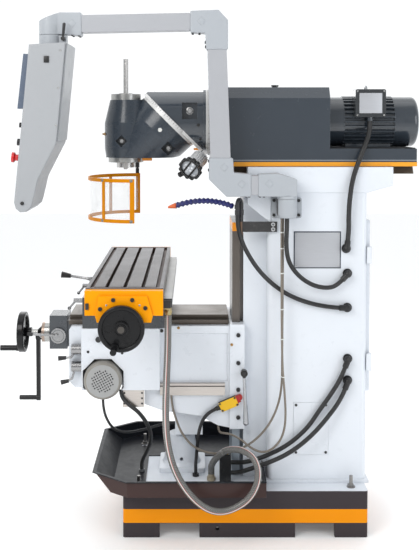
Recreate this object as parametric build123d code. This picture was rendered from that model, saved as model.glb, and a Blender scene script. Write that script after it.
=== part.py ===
from build123d import *
import math
import os

# Universal milling machine. Millimetres, +Z up, origin on the floor at the
# middle of the base. -Y is the operator's side, +X the operator's right.

# ---------------------------------------------------------------- driving sizes
BASE_X, BASE_Y, BASE_Z = 330.0, 546.5, 210.0      # half width, half length, height
FORK_H = 64.0                                     # lifting slots under the base
COL_X, COL_Y0, COL_Y1 = 220.0, 105.0, 556.0       # column half width, front, rear
COL_TOP = 1650.0
WAY_X, WAY_Y0, WAY_Y1, WAY_TOP = 155.0, -53.0, -2.0, 1392.0
AX_Z = 1854.0                                     # ram and swivel axis height
RAM_X, RAM_Y0, RAM_Y1 = 190.0, -155.0, 390.0
TAIL_Y1, TAIL_Z = 785.0, 1732.0
TILT_Y = -355.0                                   # centre of the 45 degree joint
SPIN_Y = -552.0                                   # spindle axis
NOSE_R = 44.45                                    # ISO 40 nose
SCREW_Y = -288.0                                  # elevating screw
KNEE_X = 195.0
KNEE_TOP = 921.0
TABLE_X, TABLE_Y, TABLE_TOP = 625.0, 160.0, 1172.0
TABLE_YC = -516.0
ARM_X, ARM_Y = 290.0, 185.0                       # pendant arm swivel
PEND_Y = -861.0                                   # pendant swivel
WHEEL_R = 95.0
T_SLOT = 15.0
FIT = 0.05                                        # running fit, radial

os.makedirs("parts", exist_ok=True)
NODES = {}


def keep(name, shape):
    NODES[name] = shape


def box(x0, x1, y0, y1, z0, z1):
    return Pos((x0 + x1) / 2, (y0 + y1) / 2, (z0 + z1) / 2) * Box(x1 - x0, y1 - y0, z1 - z0)


def cx(x0, x1, y, z, r):
    return Pos((x0 + x1) / 2, y, z) * Rot(0, 90, 0) * Cylinder(r, abs(x1 - x0))


def cy(x, y0, y1, z, r):
    return Pos(x, (y0 + y1) / 2, z) * Rot(90, 0, 0) * Cylinder(r, abs(y1 - y0))


def cz(x, y, z0, z1, r):
    return Pos(x, y, (z0 + z1) / 2) * Cylinder(r, abs(z1 - z0))


def rod(a, b, r):
    """Round bar from point a to point b."""
    a, b = Vector(*a), Vector(*b)
    d = b - a
    pl = Plane(origin=a, z_dir=d)
    return Solid.make_cylinder(r, d.length, pl)


def cone(a, b, r0, r1):
    a, b = Vector(*a), Vector(*b)
    d = b - a
    return Solid.make_cone(r0, r1, d.length, Plane(origin=a, z_dir=d))


def prism(points, vec):
    """Closed polygon of 3-D points pushed along a vector."""
    face = Face(Wire.make_polygon([Vector(*p) for p in points], close=True))
    return Solid.extrude(face, Vector(*vec))


def px(yz, x0, x1):
    """Side profile (y, z) between two x planes."""
    return prism([(x0, y, z) for y, z in yz], (x1 - x0, 0, 0))


def py(xz, y0, y1):
    return prism([(x, y0, z) for x, z in xz], (0, y1 - y0, 0))


def pz(xy, z0, z1):
    return prism([(x, y, z0) for x, y in xy], (0, 0, z1 - z0))


def soft(shape, edges, r):
    """Round the given edges, or leave them sharp where the corner is too tight."""
    try:
        out = fillet(edges, r)
        if out.is_valid and out.volume > 0:
            return out
    except Exception:
        pass
    return shape


def vertical(shape):
    return shape.edges().filter_by(Axis.Z)


def group(*solids):
    flat = []
    for s in solids:
        flat.extend(s.solids())
    return Compound(children=flat)


def one(shape):
    """A single solid out of a boolean result."""
    return Compound(children=list(shape.solids()))


# ---------------------------------------------------------------- base
base = box(-BASE_X, BASE_X, -BASE_Y, BASE_Y, 0, BASE_Z)
base = soft(base, vertical(base), 12)
base -= box(-400, 400, -383, -205, -1, FORK_H)
base -= box(-400, 400, 222, 399, -1, FORK_H)
base -= box(-302, 302, -518, 518, -1, 178)
base += box(-302, 302, -205, -183, 0, 178)
base += box(-302, 302, 200, 222, 0, 178)
base += box(-302, 302, -11, 11, 0, 178)
base -= cz(0, SCREW_Y, 150, 211, 27)
base -= cx(300, 331, -125, 40, 9)
for sx in (-1, 1):
    for sy in (-1, 1):
        base -= cz(sx * 282, sy * 478, 150, 211, 9.0)      # levelling screw holes
        base -= cz(sx * 250, sy * 478, 150, 211, 11.0)     # anchor holes
keep("base_casting", one(base))

lev = []
for sx in (-1, 1):
    for sy in (-1, 1):
        x, y = sx * 282, sy * 478
        s = cz(x, y, 120, 262, 8) + cz(x, y, 210, 214, 19)
        s += Pos(x, y, 219) * extrude(RegularPolygon(13, 6), 5, both=True)
        lev.append(s)
keep("levelling_screws", group(*lev))

# ---------------------------------------------------------------- column
col = box(-COL_X, COL_X, COL_Y0, COL_Y1, BASE_Z, 1600)
col = soft(col, vertical(col), 24)
front = box(-150, 150, WAY_Y1, COL_Y0 + 20, BASE_Z, 1600)
col += front
head_block = px([(14, COL_TOP), (671, COL_TOP), (671, 1566), (556, 1534), (118, 1534),
                 (118, 1396), (14, 1481)], -224, 224)
col += head_block
# foot flare onto the base
col += box(-236, 236, 100, 566, BASE_Z, 222)
# hollow core, open to the base, and the electrical cabinet, open to the rear
col -= box(-198, 198, 128, 304, BASE_Z - 1, 1500)
col -= box(-118, 118, 28, 130, BASE_Z - 1, 1420)
col -= box(-180, 180, 318, COL_Y1 + 1, 640, 1380)
col -= box(-198, 198, 318, COL_Y1 - 18, 420, 1500)
# dovetail groove for the ram
DT_TOP, DT_BOT = 105.0, 126.0
col -= py([(-DT_TOP - 1, COL_TOP + 1), (DT_TOP + 1, COL_TOP + 1), (DT_BOT + 1, 1613), (-DT_BOT - 1, 1613)], 0, 700)
# recess for the side access cover
col -= box(216, 221, 224, 384, 334, 576)
way = box(-WAY_X, WAY_X, WAY_Y0, WAY_Y1 - 16, 226, WAY_TOP)
way += box(-118, 118, WAY_Y1 - 16, WAY_Y1, 226, WAY_TOP)

cover = box(216.2, 221.5, 224.4, 383.6, 334.4, 575.6)
for y in (236, 372):
    for z in (346, 564):
        cover += cx(221.5, 225, y, z, 6)
keep("side_access_cover", one(cover))

# mounting panel with switchgear inside the cabinet
panel = box(-165, 165, 318, 322, 660, 1360)
gear = [panel]
for row, z in enumerate((760, 930, 1100, 1260)):
    for i in range(5):
        x = -140 + i * 58
        gear.append(box(x, x + 46, 322, 322 + (70 if row % 2 else 92), z, z + 78))
for z in (715, 885, 1055, 1215):
    gear.append(box(-160, 160, 322, 362, z, z + 30))
keep("electrical_panel", group(*gear))

# cable glands on the column's side
glands = []
GLAND_X = 243.0
GLANDS = [((460, 1281), (0.10, 0.995)), ((466, 1168), (-0.69, -0.724)), ((466, 1012), (-0.998, 0.063)),
          ((469, 778), (-0.356, -0.934)), ((469, 679), (-0.356, -0.934))]
EXITS = []
for (y, z), (dy, dz) in GLANDS:
    g = cx(220, 228, y, z, 21) + cx(227, GLAND_X, y, z, 16)
    g += Pos(GLAND_X, y, z) * Sphere(16)
    end = (GLAND_X, y + 38 * dy, z + 38 * dz)
    g += rod((GLAND_X, y, z), end, 13.5)
    EXITS.append((end, (dy, dz)))
    glands.append(g)
keep("cable_glands", group(*glands))

# pendant bracket on the column's side: flange, cup and swivel pin
br = box(220, 236, 119, 256, 1420, 1514)
br = soft(br, br.edges().filter_by(Axis.X), 10)
br += box(235, ARM_X, ARM_Y - 42, ARM_Y + 42, 1441, 1506)
br += cz(ARM_X, ARM_Y, 1440, 1512, 44) + cone((ARM_X, ARM_Y, 1428), (ARM_X, ARM_Y, 1440), 39, 44)
br += cz(ARM_X, ARM_Y, 1512, 1578, 20)
for y in (131, 243):
    for z in (1434, 1500):
        br += cx(236, 243, y, z, 7)
keep("pendant_bracket", one(br))

# coolant bracket: bar with two ringed holes, shut-off tee at its front end
TEE = (227.0, -17.0)
cb = box(220.0, 234, -16, 146, 1357, 1403)
cb -= px([(119, 1394.6), (12, 1481.8), (12, 1500), (150, 1500), (150, 1394.6)], 219, 224.4)   # sits under the flank plate
for z in (1369, 1391):
    cb += cx(234, 236, 128, z, 9)
    cb -= cx(219, 237, 128, z, 5)
cb += cz(TEE[0], TEE[1], 1344, 1404, 8.5)
cb += cz(TEE[0], TEE[1], 1404, 1489.5, 11)
LEG = (254.0, -34.0)                               # falling leg of the gooseneck
bend = Pos(TEE[0], TEE[1], 1488) * Circle(9)
cb += revolve(bend, axis=Axis(((TEE[0] + LEG[0]) / 2, (TEE[1] + LEG[1]) / 2, 1488), (TEE[1] - LEG[1], LEG[0] - TEE[0], 0)), revolution_arc=180)
cb += cz(LEG[0], LEG[1], 1436, 1489.5, 10.2) + cz(LEG[0], LEG[1], 1436, 1458, 12.5)
cb += Pos(TEE[0], TEE[1], 1446) * extrude(RegularPolygon(14, 6), 12, both=True)
cb += rod((TEE[0], TEE[1], 1470), (TEE[0], -46, 1470), 10)

# jointed plastic coolant hose holding its shape, ending in a tapered nozzle
H0, H1, H2 = (TEE[0], -51.0, 1471.0), (205.0, -170.0, 1520.0), (118.0, -312.0, 1466.0)


def hose_at(t):
    return tuple((1 - t) ** 2 * a + 2 * t * (1 - t) * b + t * t * c for a, b, c in zip(H0, H1, H2))


SEG = 14
pieces = []
for i in range(SEG):
    a, b = hose_at(i / SEG), hose_at((i + 0.95) / SEG)
    mid = tuple((p + q) / 2 for p, q in zip(a, b))
    pieces.append(cone(a, mid, 9.0, 14.5) + cone(mid, b, 14.5, 10.0))
tip = (108.0, -349.0, 1457.0)
n0 = tuple(h + 0.02 * (t - h) for t, h in zip(tip, H2))
nozzle = cone(n0, tip, 14.0, 5.0)
nozzle -= rod(tip, tuple(t + 0.25 * (h - t) for t, h in zip(tip, H2)), 2.2)
keep("coolant_line", group(one(cb), *pieces, one(nozzle)))

# ---------------------------------------------------------------- drip tray
RIM_Z = 283.0


def tray_outline(rim, inset, z):
    if rim:
        pts = [(410, 87.5), (410, -523.5), (290, -677), (-290, -677), (-410, -523.5), (-410, 87.5)]
    else:
        pts = [(407, 87.5), (407, -520), (344.5, -600), (-344.5, -600), (-407, -520), (-407, 87.5)]
    k = inset
    cut = k * 0.48
    x0, y1 = pts[0]
    out = [(pts[0][0] - k, pts[0][1] - k), (pts[1][0] - k, pts[1][1] + cut),
           (pts[2][0] - cut, pts[2][1] + k)]
    out += [(-x, y) for x, y in reversed(out)]
    return Wire.make_polygon([Vector(x, y, z) for x, y in out], close=True)


tray = Solid.make_loft([tray_outline(False, 0, BASE_Z), tray_outline(True, 0, RIM_Z)], True)
tray -= Solid.make_loft([tray_outline(False, 4, BASE_Z + 4), tray_outline(True, 4, RIM_Z + 4)], True)
tray -= box(-105, 300, -450, 83.4, 200, 230)
tray -= box(-300, 300, -10, 83.4, 200, 230)
tray -= box(-152, 152, -20, 100, 200, 300)
for sx in (-1, 1):
    tray -= cz(sx * 282, -478, 200, 230, 21) + cz(sx * 250, -478, 200, 230, 14)
    tray -= box(min(sx * 250, sx * 282), max(sx * 250, sx * 282), -492, -464, 200, 230)
# folded rim
rim = Solid.make_loft([tray_outline(True, -9, RIM_Z - 4), tray_outline(True, -9, RIM_Z)], True)
rim -= box(-500, 500, 87.5, 120, 200, 300)
rim -= Solid.make_loft([tray_outline(True, 3, RIM_Z - 10), tray_outline(True, 3, RIM_Z + 10)], True)
rim -= box(-152, 152, -20, 120, 200, 300)
tray += rim
keep("drip_tray", one(tray))

# elevating screw pedestal on the base
ped = box(-104, 112, SCREW_Y - 104, SCREW_Y + 112, BASE_Z, 230)
ped = soft(ped, vertical(ped), 14)
ped += cone((0, SCREW_Y, 229), (0, SCREW_Y, 244), 92, 84) + cone((0, SCREW_Y, 243), (0, SCREW_Y, 364), 84, 60)
ped -= cz(0, SCREW_Y, 200, 380, 25)
ped -= cx(50, 95, SCREW_Y, 262, 8)
keep("screw_pedestal", one(ped))

# ---------------------------------------------------------------- rear door
HINGE = (192.0, 573.0)
door = box(-198, 181, COL_Y1 + 0.6, COL_Y1 + 19, 616, 1404)
door = soft(door, door.edges().filter_by(Axis.Y), 8)
door -= box(-184, 170, COL_Y1 + 0.5, COL_Y1 + 15, 632, 1388)
door += cy(-150, COL_Y1 + 18, COL_Y1 + 30, 1010, 16)
for z0 in (720, 1210):
    door += box(180, 192, COL_Y1 + 11, COL_Y1 + 19, z0 + 26, z0 + 50)
    door += cz(HINGE[0], HINGE[1], z0 + 26, z0 + 50, 9)
    door -= cz(HINGE[0], HINGE[1], z0 + 20, z0 + 60, 5 + FIT)
keep("rear_door", one(door))
pins = []
for z0 in (720, 1210):
    h = box(202, 216, COL_Y1, HINGE[1] + 5, z0, z0 + 76)
    for a, b in ((z0, z0 + 25.4), (z0 + 50.6, z0 + 76)):
        h += cz(HINGE[0], HINGE[1], a, b, 9) + box(HINGE[0], 203, HINGE[1] - 8, HINGE[1] + 5, a, b)
    h += cz(HINGE[0], HINGE[1], z0, z0 + 76, 5)
    pins.append(one(h))
keep("column_casting", group(one(col), one(way), *pins))

# ---------------------------------------------------------------- pendant arm
AW = 37.0                                         # arm tube half width


def squared(shape, r=7.0):
    return soft(shape, shape.edges().filter_by(Axis.X), r)



def elbow(yz):
    s = squared(px(yz, ARM_X - AW - 4, ARM_X + AW + 4))
    ends = s.faces().sort_by(Axis.X)
    return soft(s, ends[0].edges() + ends[-1].edges(), 5)


sw = elbow([(54, 1524), (226, 1524), (226, 1600), (143, 1627), (54, 1623)])
sw += cz(ARM_X, ARM_Y, 1513, 1526, 45)
sw -= cz(ARM_X, ARM_Y, 1500, 1580, 20 + FIT)
lo = elbow([(23, 1524), (23, 1623), (-54, 1630), (-57, 1695), (-163, 1695), (-163, 1600), (-86, 1524)])
up = elbow([(-80, 2172), (-80, 2300), (-122, 2346), (-246, 2341), (-246, 2246), (-180, 2244), (-176, 2172)])
en = elbow([(-723, 2232), (-723, 2334), (-880, 2334), (-900, 2320), (-900, 2237), (-780, 2237)])
en += cz(ARM_X, PEND_Y, 2237, 2334, 53)
en -= px([(-816, 2334.6), (-930, 2291), (-930, 2400), (-816, 2400)], 200, 400)
en -= cz(ARM_X, PEND_Y, 2230, 2302, 18 + FIT)
keep("arm_elbows", group(one(sw), one(lo), one(up), one(en)))
short_tube = px([(54, 1532), (54, 1616), (23, 1616), (23, 1532)], ARM_X - AW, ARM_X + AW)
post = px([(-157, 1695), (-68, 1695), (-86, 2172), (-170, 2172)], ARM_X - AW, ARM_X + AW)
long_tube = px([(-246, 2256), (-246, 2332), (-723, 2322), (-723, 2246)], ARM_X - AW, ARM_X + AW)
long_tube = squared(long_tube, 6)
post -= px([(-152, 1690), (-73, 1690), (-91, 2180), (-165, 2180)], ARM_X - AW + 5, ARM_X + AW - 5)
long_tube -= px([(-240, 2261), (-240, 2327), (-730, 2317), (-730, 2251)], ARM_X - AW + 5, ARM_X + AW - 5)
keep("arm_tubes", group(one(short_tube), one(post), one(long_tube)))

# ---------------------------------------------------------------- pendant
PX0, PX1 = 140.0, 440.0
pend = px([(-935, 2186), (-778, 2195), (-820, 1762), (-899, 1608), (-922, 1512), (-930, 1486), (-950, 1468),
           (-978, 1466), (-996, 1482), (-1003, 1508)], PX0, PX1)
pend = soft(pend, pend.edges().group_by(Axis.X)[-1], 6)
pend -= px([(-924, 2174), (-790, 2182), (-831, 1766), (-908, 1612), (-930, 1520), (-993, 1512)], PX0 + 8, PX1 - 8)
pend -= box(PX0 + 40, PX1 - 40, -830, -760, 1810, 2140)
pend += cz(ARM_X, PEND_Y, 2181, 2236, 53)
pend += cz(ARM_X, PEND_Y, 2235, 2300, 18)
pend += box(ARM_X, 338, PEND_Y + 40, PEND_Y + 74, 2200, 2232)
FN = Vector(0, -0.9955, 0.0948).normalized()       # outward from the sloping front


def front_at(z):
    return -935.0 + (z - 2186.0) * (68.0 / 678.0)


def front_pt(x, z, out=0.0):
    return (x, front_at(z) + FN.Y * out, z + FN.Z * out)


BUTTONS = {"estop_button": (385.0, 1698.0, 22.5, 28.0), "start_button": (395.0, 1840.0, 11.0, 7.0),
           "stop_button": (395.0, 1766.0, 15.0, 9.0)}
for name, (x, z, r, h) in BUTTONS.items():
    pend -= rod(front_pt(x, z, -24), front_pt(x, z, 5), 8 + FIT)
    pend += rod(front_pt(x, z, -2), front_pt(x, z, 3), r + 4) - rod(front_pt(x, z, -24), front_pt(x, z, 5), 8 + FIT)
cover = px([(-779.5, 2172), (-777.5, 2190), (-771, 2190), (-773, 2172), (-812, 1772), (-818.5, 1772)], PX0 + 14, PX1 - 14)
keep("pendant_box", group(one(pend), one(cover)))
disp = px([(front_at(1914) , 1914), (front_at(2145), 2145), (front_at(2145) - 22, 2147), (front_at(1914) - 26, 1910)],
          PX0 + 14, PX1 - 14)
disp = soft(disp, disp.edges().filter_by(Axis.X), 3)
keep("pendant_display", one(disp))
for name, (x, z, r, h) in BUTTONS.items():
    cap0 = 8.0
    b = rod(front_pt(x, z, -14), front_pt(x, z, cap0 + 1), 8)
    if name == "estop_button":
        b += rod(front_pt(x, z, cap0), front_pt(x, z, cap0 + 13), 14)
        b += cone(front_pt(x, z, cap0 + 12), front_pt(x, z, cap0 + 18), 14, r)
        b += rod(front_pt(x, z, cap0 + 17.5), front_pt(x, z, cap0 + h), r)
    else:
        b += rod(front_pt(x, z, cap0), front_pt(x, z, cap0 + h), r)
    keep(name, one(b))
# collar clamp lever
LEV_Y, LEV_Z = PEND_Y + 61.0, 2217.0
cl = cx(338.4, 366, LEV_Y, LEV_Z, 9)
cl += cone((360, LEV_Y, LEV_Z), (363, LEV_Y + 6, LEV_Z + 62), 5, 7) + Pos(363, LEV_Y + 6, LEV_Z + 62) * Sphere(7)
keep("pendant_clamp_lever", one(cl))

# ---------------------------------------------------------------- ram
ram = py([(-196, 1651.5), (196, 1651.5), (196, 1671), (RAM_X, 1675), (RAM_X, 1962), (150, 2012),
          (-150, 2012), (-RAM_X, 1962), (-RAM_X, 1675), (-196, 1671)], RAM_Y0, RAM_Y1)
ram += py([(-196, 1651.5), (196, 1651.5), (196, 1671), (RAM_X, 1675), (RAM_X, TAIL_Z),
           (-RAM_X, TAIL_Z), (-RAM_X, 1675), (-196, 1671)], RAM_Y1 - 1, TAIL_Y1)
ram -= box(-170, 170, RAM_Y0 + 20, RAM_Y1 - 20, 1692, 1986)
ram -= cy(0, RAM_Y1 - 30, RAM_Y1 + 1, AX_Z, 92)
ram -= box(-165, 165, RAM_Y1 + 25, TAIL_Y1 - 25, 1672, TAIL_Z - 14)
ram += py([(-DT_TOP, 1652), (DT_TOP, 1652), (DT_BOT, 1614), (-DT_BOT, 1614)], -135, TAIL_Y1)
ram += cy(0, RAM_Y0 - 10, RAM_Y0 + 1, AX_Z, 158)
ram -= cy(0, RAM_Y0 - 11, RAM_Y0 + 30, AX_Z, 18 + FIT)
ram += cz(0, 154, 2011, 2024, 14) + cz(0, 154, 2020, 2027, 18)
keep("ram_casting", one(ram))

shaft = cy(0, -330, 352, AX_Z, 18) + cy(0, 335, 360, AX_Z, 48)
shaft += cone((0, -330, AX_Z), (0, -300, AX_Z), 22, 40)
keep("drive_shaft", one(shaft))

# spindle motor: bell, ribbed body, fan cover, lifting eye
rib = []
RIBS = 32
for i in range(RIBS):
    for da, r in ((-0.30, 107), (-0.17, 120), (0.17, 120), (0.30, 107)):
        a = 2 * math.pi * (i + da) / RIBS
        rib.append((r * math.cos(a), AX_Z + r * math.sin(a)))
motor = py(rib, 468, 702)
motor += cy(0, RAM_Y1, 470, AX_Z, 116)
fan = cy(0, 700, 815, AX_Z, 117)
fan = soft(fan, fan.edges().sort_by(Axis.Y)[-1:], 22)
motor += fan
motor += cy(0, RAM_Y1 - 26, RAM_Y1 + 2, AX_Z, 14)
motor += box(-60, 60, 480, 690, TAIL_Z, 1752)
motor += Pos(0, 585, 2004) * Rot(90, 0, 0) * Torus(16, 5) + cz(0, 585, 1960, 1991, 9)
term = box(70, 165, 509, 648, 1876, 2003)
term = soft(term, term.edges().filter_by(Axis.X), 8)
term -= cy(0, 480, 690, AX_Z, 120.2)
term += cz(146, 578, 1858, 1878, 13)
keep("spindle_motor", group(one(motor), one(term - cy(0, 480, 690, AX_Z, 120.2))))

# ---------------------------------------------------------------- head elbow, 45 degree joint
TC = (0.0, TILT_Y, AX_Z)
TN = (0.0, math.sqrt(0.5), math.sqrt(0.5))


def tilt_pt(off):
    return tuple(c + n * off for c, n in zip(TC, TN))


elb = px([(-462, 1978), (-439, 2001), (-170, 2001), (-170, 1707), (-196, 1712), (-232, 1748)], -150, 150)
elb = elb & cy(0, -600, -166, AX_Z, 147)
elb += cy(0, -186, RAM_Y0 - 10.4, AX_Z, 156)
elb += rod(tilt_pt(0), tilt_pt(25), 163)
elb -= cy(0, -400, -160, AX_Z, 46)
elb -= rod(tilt_pt(-5), tilt_pt(60), 46)
for sx in (-1, 1):
    x0, x1 = sorted((sx * 92, sx * 170))
    elb -= box(x0, x1, -284, -214, 1866, 1942)
# lamp pivot lug on the elbow
LD = Vector(0.80, -0.42, -0.43).normalized()
LB = Vector(205, -250, 1637)                        # middle of the lamp's front
LF = LB - LD * 120
LP = LF - LD * 16
LU = LD.cross(Vector(0, 0, 1)).normalized()


def vt(v):
    return (v.X, v.Y, v.Z)


elb += rod((70, -190, 1738), vt(LP - LD * 2), 3.4)
elb += rod(vt(LP - LU * 5), vt(LP + LU * 5), 9)
elb += rod(vt(LP - LU * 11), vt(LP + LU * 11), 4)
keep("elbow_casting", one(elb))

# work lamp: ribbed body, ears, scalloped bezel, lens
prof = []
for i in range(24):
    for da, r in ((-0.32, 32.5), (-0.15, 38), (0.15, 38), (0.32, 32.5)):
        a = 2 * math.pi * (i + da) / 24
        prof.append((r * math.cos(a), r * math.sin(a)))
LV = LD.cross(LU).normalized()


def lamp_pt(u, v, w):
    p = LF + LU * u + LV * v + LD * w
    return (p.X, p.Y, p.Z)


body = prism([lamp_pt(u, v, 0) for u, v in prof], vt(LD * 98))
for s0 in (-11, 5.8):
    ear = prism([lamp_pt(s0, -8, 2), lamp_pt(s0, 8, 2), lamp_pt(s0, 7, -22), lamp_pt(s0, -7, -22)], vt(LU * 5.2))
    body += ear
body -= rod(lamp_pt(-20, 0, -16), lamp_pt(20, 0, -16), 4 + FIT)
lobes = []
for i in range(12):
    for da, r in ((-0.34, 49.5), (-0.18, 55), (0.18, 55), (0.34, 49.5)):
        a = 2 * math.pi * (i + da) / 12
        lobes.append((r * math.cos(a), r * math.sin(a)))
bez = prism([lamp_pt(u, v, 98) for u, v in lobes], vt(LD * 22))
bez -= rod(lamp_pt(0, 0, 106), lamp_pt(0, 0, 130), 42)
keep("work_lamp", group(one(body), one(bez)))

# ---------------------------------------------------------------- milling head
BAR_Y = -540.0                                      # spindle barrel
headp = cz(0, BAR_Y, 1728, 1850, 112) + cone((0, BAR_Y, 1850), (0, BAR_Y, 1957), 112, 87)
headp += cone((0, BAR_Y, 1685), (0, BAR_Y, 1728), 105, 112)
headp += cone(tilt_pt(-12), tilt_pt(-70), 160, 157) + cone(tilt_pt(-70), tilt_pt(-330), 157, 88)
headp = headp & px([(-660, 1686), (-660, 1956), (-486, 1956), (-470, 1960), (-246, 1736), (-262, 1712), (-290, 1691),
                    (-330, 1686)], -170, 170)
headp += rod(tilt_pt(-0.4), tilt_pt(-13), 160)
headp += cz(0, SPIN_Y, 1950, 1984, 70.5) + cz(0, SPIN_Y, 1663, 1690, 82.5)
headp -= rod(tilt_pt(2), tilt_pt(-60), 46)
for y, z, w in ((-566, 1764, 40), (-349, 1731, 46)):
    for sx in (-1, 1):
        headp -= Pos(sx * 118, y, z) * Rot(45, 0, 0) * Box(96, w, w)
headp -= cz(0, SPIN_Y, 1600, 2000, 32 + FIT)
headp -= cz(0, SPIN_Y, 1600, 1664, 48)
keep("head_casting", one(headp))

spin = cz(0, SPIN_Y, 1638, 1662.6, NOSE_R) + cz(0, SPIN_Y, 1660, 1988, 32) + cz(0, SPIN_Y, 1986, 2150, 12)
spin -= cone((0, SPIN_Y, 1637), (0, SPIN_Y, 1704), 22.3, 12.6)
for sx in (-1, 1):
    spin += box(sx * 33 - 8, sx * 33 + 8, SPIN_Y - 8, SPIN_Y + 8, 1630, 1640) - cz(0, SPIN_Y, 1600, 1645, 23)
keep("spindle", one(spin))

# ---------------------------------------------------------------- chip guard
GX, GY0, GB = 240.0, -508.0, 223.0
GP = (-GX, -512.0)                                  # hinge pin of the guard
ga = box(-250, -60, -522, -502, 1664, 1676) - cz(0, SPIN_Y, 1600, 1700, 82.6)
ga += box(GP[0] - 10, GP[0] + 10, GP[1] - 10, GP[1] + 10, 1624, 1676)
ga += cz(GP[0], GP[1], 1602, 1626, 5)
keep("guard_arm", one(ga))


def band(a0, b0, t, z0, z1):
    e = extrude(Ellipse(a0, b0) - Ellipse(a0 - t, b0 - t), z1 - z0)
    return (Pos(0, GY0, z0) * e) - box(-400, 400, GY0, GY0 + 400, z0 - 1, z1 + 1)


gf = band(GX, GB, 5, 1396, 1412) + band(GX, GB, 5, 1580, 1596)
for sx in (-1, 1):
    gf += box(sx * (GX - 2.5) - 3, sx * (GX - 2.5) + 3, GY0 - 11, GY0 + 10, 1396, 1596)
    xx = sx * 190.0
    yy = GY0 - GB * math.sqrt(1 - (190.0 / GX) ** 2)
    tang = math.degrees(math.atan2(GB * 190.0 / GX ** 2 / math.sqrt(1 - (190.0 / GX) ** 2), 1)) * sx
    gf += Pos(xx * 0.985, yy + 2.6, 1496) * Rot(0, 0, tang) * Box(15, 5, 196)
gf += cz(GP[0], GP[1], 1590, 1621, 9)
gf -= cz(GP[0], GP[1], 1598, 1630, 5 + FIT)
keep("guard_frame", one(gf))
keep("guard_shield", one(band(GX - 6.5, GB - 6.5, 2.5, 1414, 1578)))

# ---------------------------------------------------------------- knee
knee = px([(-745, KNEE_TOP), (-60, KNEE_TOP), (-60, 450), (-120, 462), (-200, 505), (-370, 530), (-455, 560),
           (-455, 640), (-745, 640)], -KNEE_X, KNEE_X)
for sx in (-1, 1):
    x0, x1 = sorted((sx * 189, sx * 200))
    knee -= box(x0, x1, -372, -76, 666, 886)
knee += box(-205, 205, -66, 2, 448, 930)
knee += box(-250, 250, -739, -384, 640, KNEE_TOP)
knee += px([(-800, 905), (-788, KNEE_TOP), (-738, KNEE_TOP), (-738, 640), (-775, 640), (-800, 668)], -200, 200)
knee += box(-125, 125, -317, -189, 395, 520)
G = 0.4
knee -= box(-WAY_X - G, WAY_X + G, WAY_Y0 - G, WAY_Y1 - 16 + G, 400, 1000)
knee -= box(-118 - G, 118 + G, WAY_Y1 - 17, 10, 400, 1000)
knee -= box(-151, 151, WAY_Y1 - G, 10, 400, 1000)
# inside of the casting, closed above by the ways
knee -= box(-150, 150, -700, -330, 700, KNEE_TOP + 1)
knee -= box(-150, 150, -331, -100, 560, KNEE_TOP + 1)
FM = (-640.0, 690.0)
octo = Rot(0, 0, 22.5) * RegularPolygon(92 / math.cos(math.pi / 8), 8)
knee -= Pos(165, FM[0], FM[1]) * Rot(0, 90, 0) * extrude(octo, 120)
CRANK = (-120.0, 807.0)
knee -= cy(CRANK[0], -801, -750, CRANK[1], 11 + FIT)
CLAMP_Y = -2.0
knee += cx(204, 226, CLAMP_Y, 715, 12)
knee += cx(226, 252, CLAMP_Y, 715, 7)
HUBS = {"feed_lever_upper": 822.0, "feed_lever_lower": 742.6}
LEVERS = {"feed_lever_upper": ((-788, -38), (-810, -40), (-846, -43)),
          "feed_lever_lower": ((-784, -56), (-798, -66), (-834, -74))}      # bend, knob, knob end
for z in HUBS.values():
    knee -= cy(225, -740, -715, z, 10 + FIT)
keep("knee_casting", one(knee))

keep("knee_ways", one(box(-165, 165, -806, -70, KNEE_TOP, 940) + box(-120, 120, -806, -70, 939, 958)))

fm = cx(165, 285, FM[0], FM[1], 86)
fm = soft(fm, fm.edges().sort_by(Axis.X)[-1:], 16)
for i in range(-4, 5):
    for j in range(-4, 5):
        a, b = i * 11.5, j * 11.5
        if 6 < math.hypot(a, b) < 50:
            c30, s30 = math.cos(0.5), math.sin(0.5)
            fm -= Pos(285, FM[0] + a * c30 - b * s30, FM[1] + a * s30 + b * c30) * Rot(math.degrees(0.5), 0, 0) * Box(6, 6, 6)
keep("feed_motor", one(fm))

BOXW = 70.0
fb = box(-BOXW, BOXW, -909, -826, 784, 942)
fb = soft(fb, fb.edges().filter_by(Axis.Y), 4)
fb += box(-62, 62, -827, -800, 796, 916)
fb -= cy(0, -910, -845, 850, 14 + FIT)
fb -= cx(50, 71, -867.5, 848.6, 10 + FIT)
keep("feed_box", one(fb))

ys = box(195, 214, -384, -88, 606, 660)
ys -= box(210, 220, -384.5, -87.5, 646, 650)
ysh = box(196, 238, -553, -457, 560, 640)
keep("cross_scale", group(one(ys), one(ysh)))

LS = Pos(205, -71.5, 568.5) * Rot(23, 0, 0)
ls = LS * (Pos(11, 0, 0) * Box(22, 84, 44)) + LS * (Pos(11, -50, 0) * Rot(90, 0, 0) * Cylinder(10, 24))
ls += LS * (Pos(11, -45, 0) * Rot(90, 0, 0) * extrude(RegularPolygon(12.5, 6), 4, both=True))
ls += LS * (Pos(11, 49, 4) * Box(18, 16, 32)) + LS * (Pos(11, 58, 8) * Rot(0, 90, 0) * Cylinder(13, 14))
keep("limit_switch", one(ls))

es = cz(0, SCREW_Y, 92, 395, 22)
keep("elevating_screw", one(es))

for name, z in HUBS.items():
    lv = cy(225, -785, -739.4, z, 24)
    lv += cy(225, -741, -720, z, 10)
    bend, tip, end = LEVERS[name]
    a, b, c = [(225, y, z + dz) for y, dz in (bend, tip, end)]
    lv += rod((225, -772, z - 16), a, 5) + Pos(*a) * Sphere(5) + rod(a, tuple((p + q) / 2 for p, q in zip(b, c)), 5)
    lv += cone(b, c, 8, 11)
    keep(name, one(lv))

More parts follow.
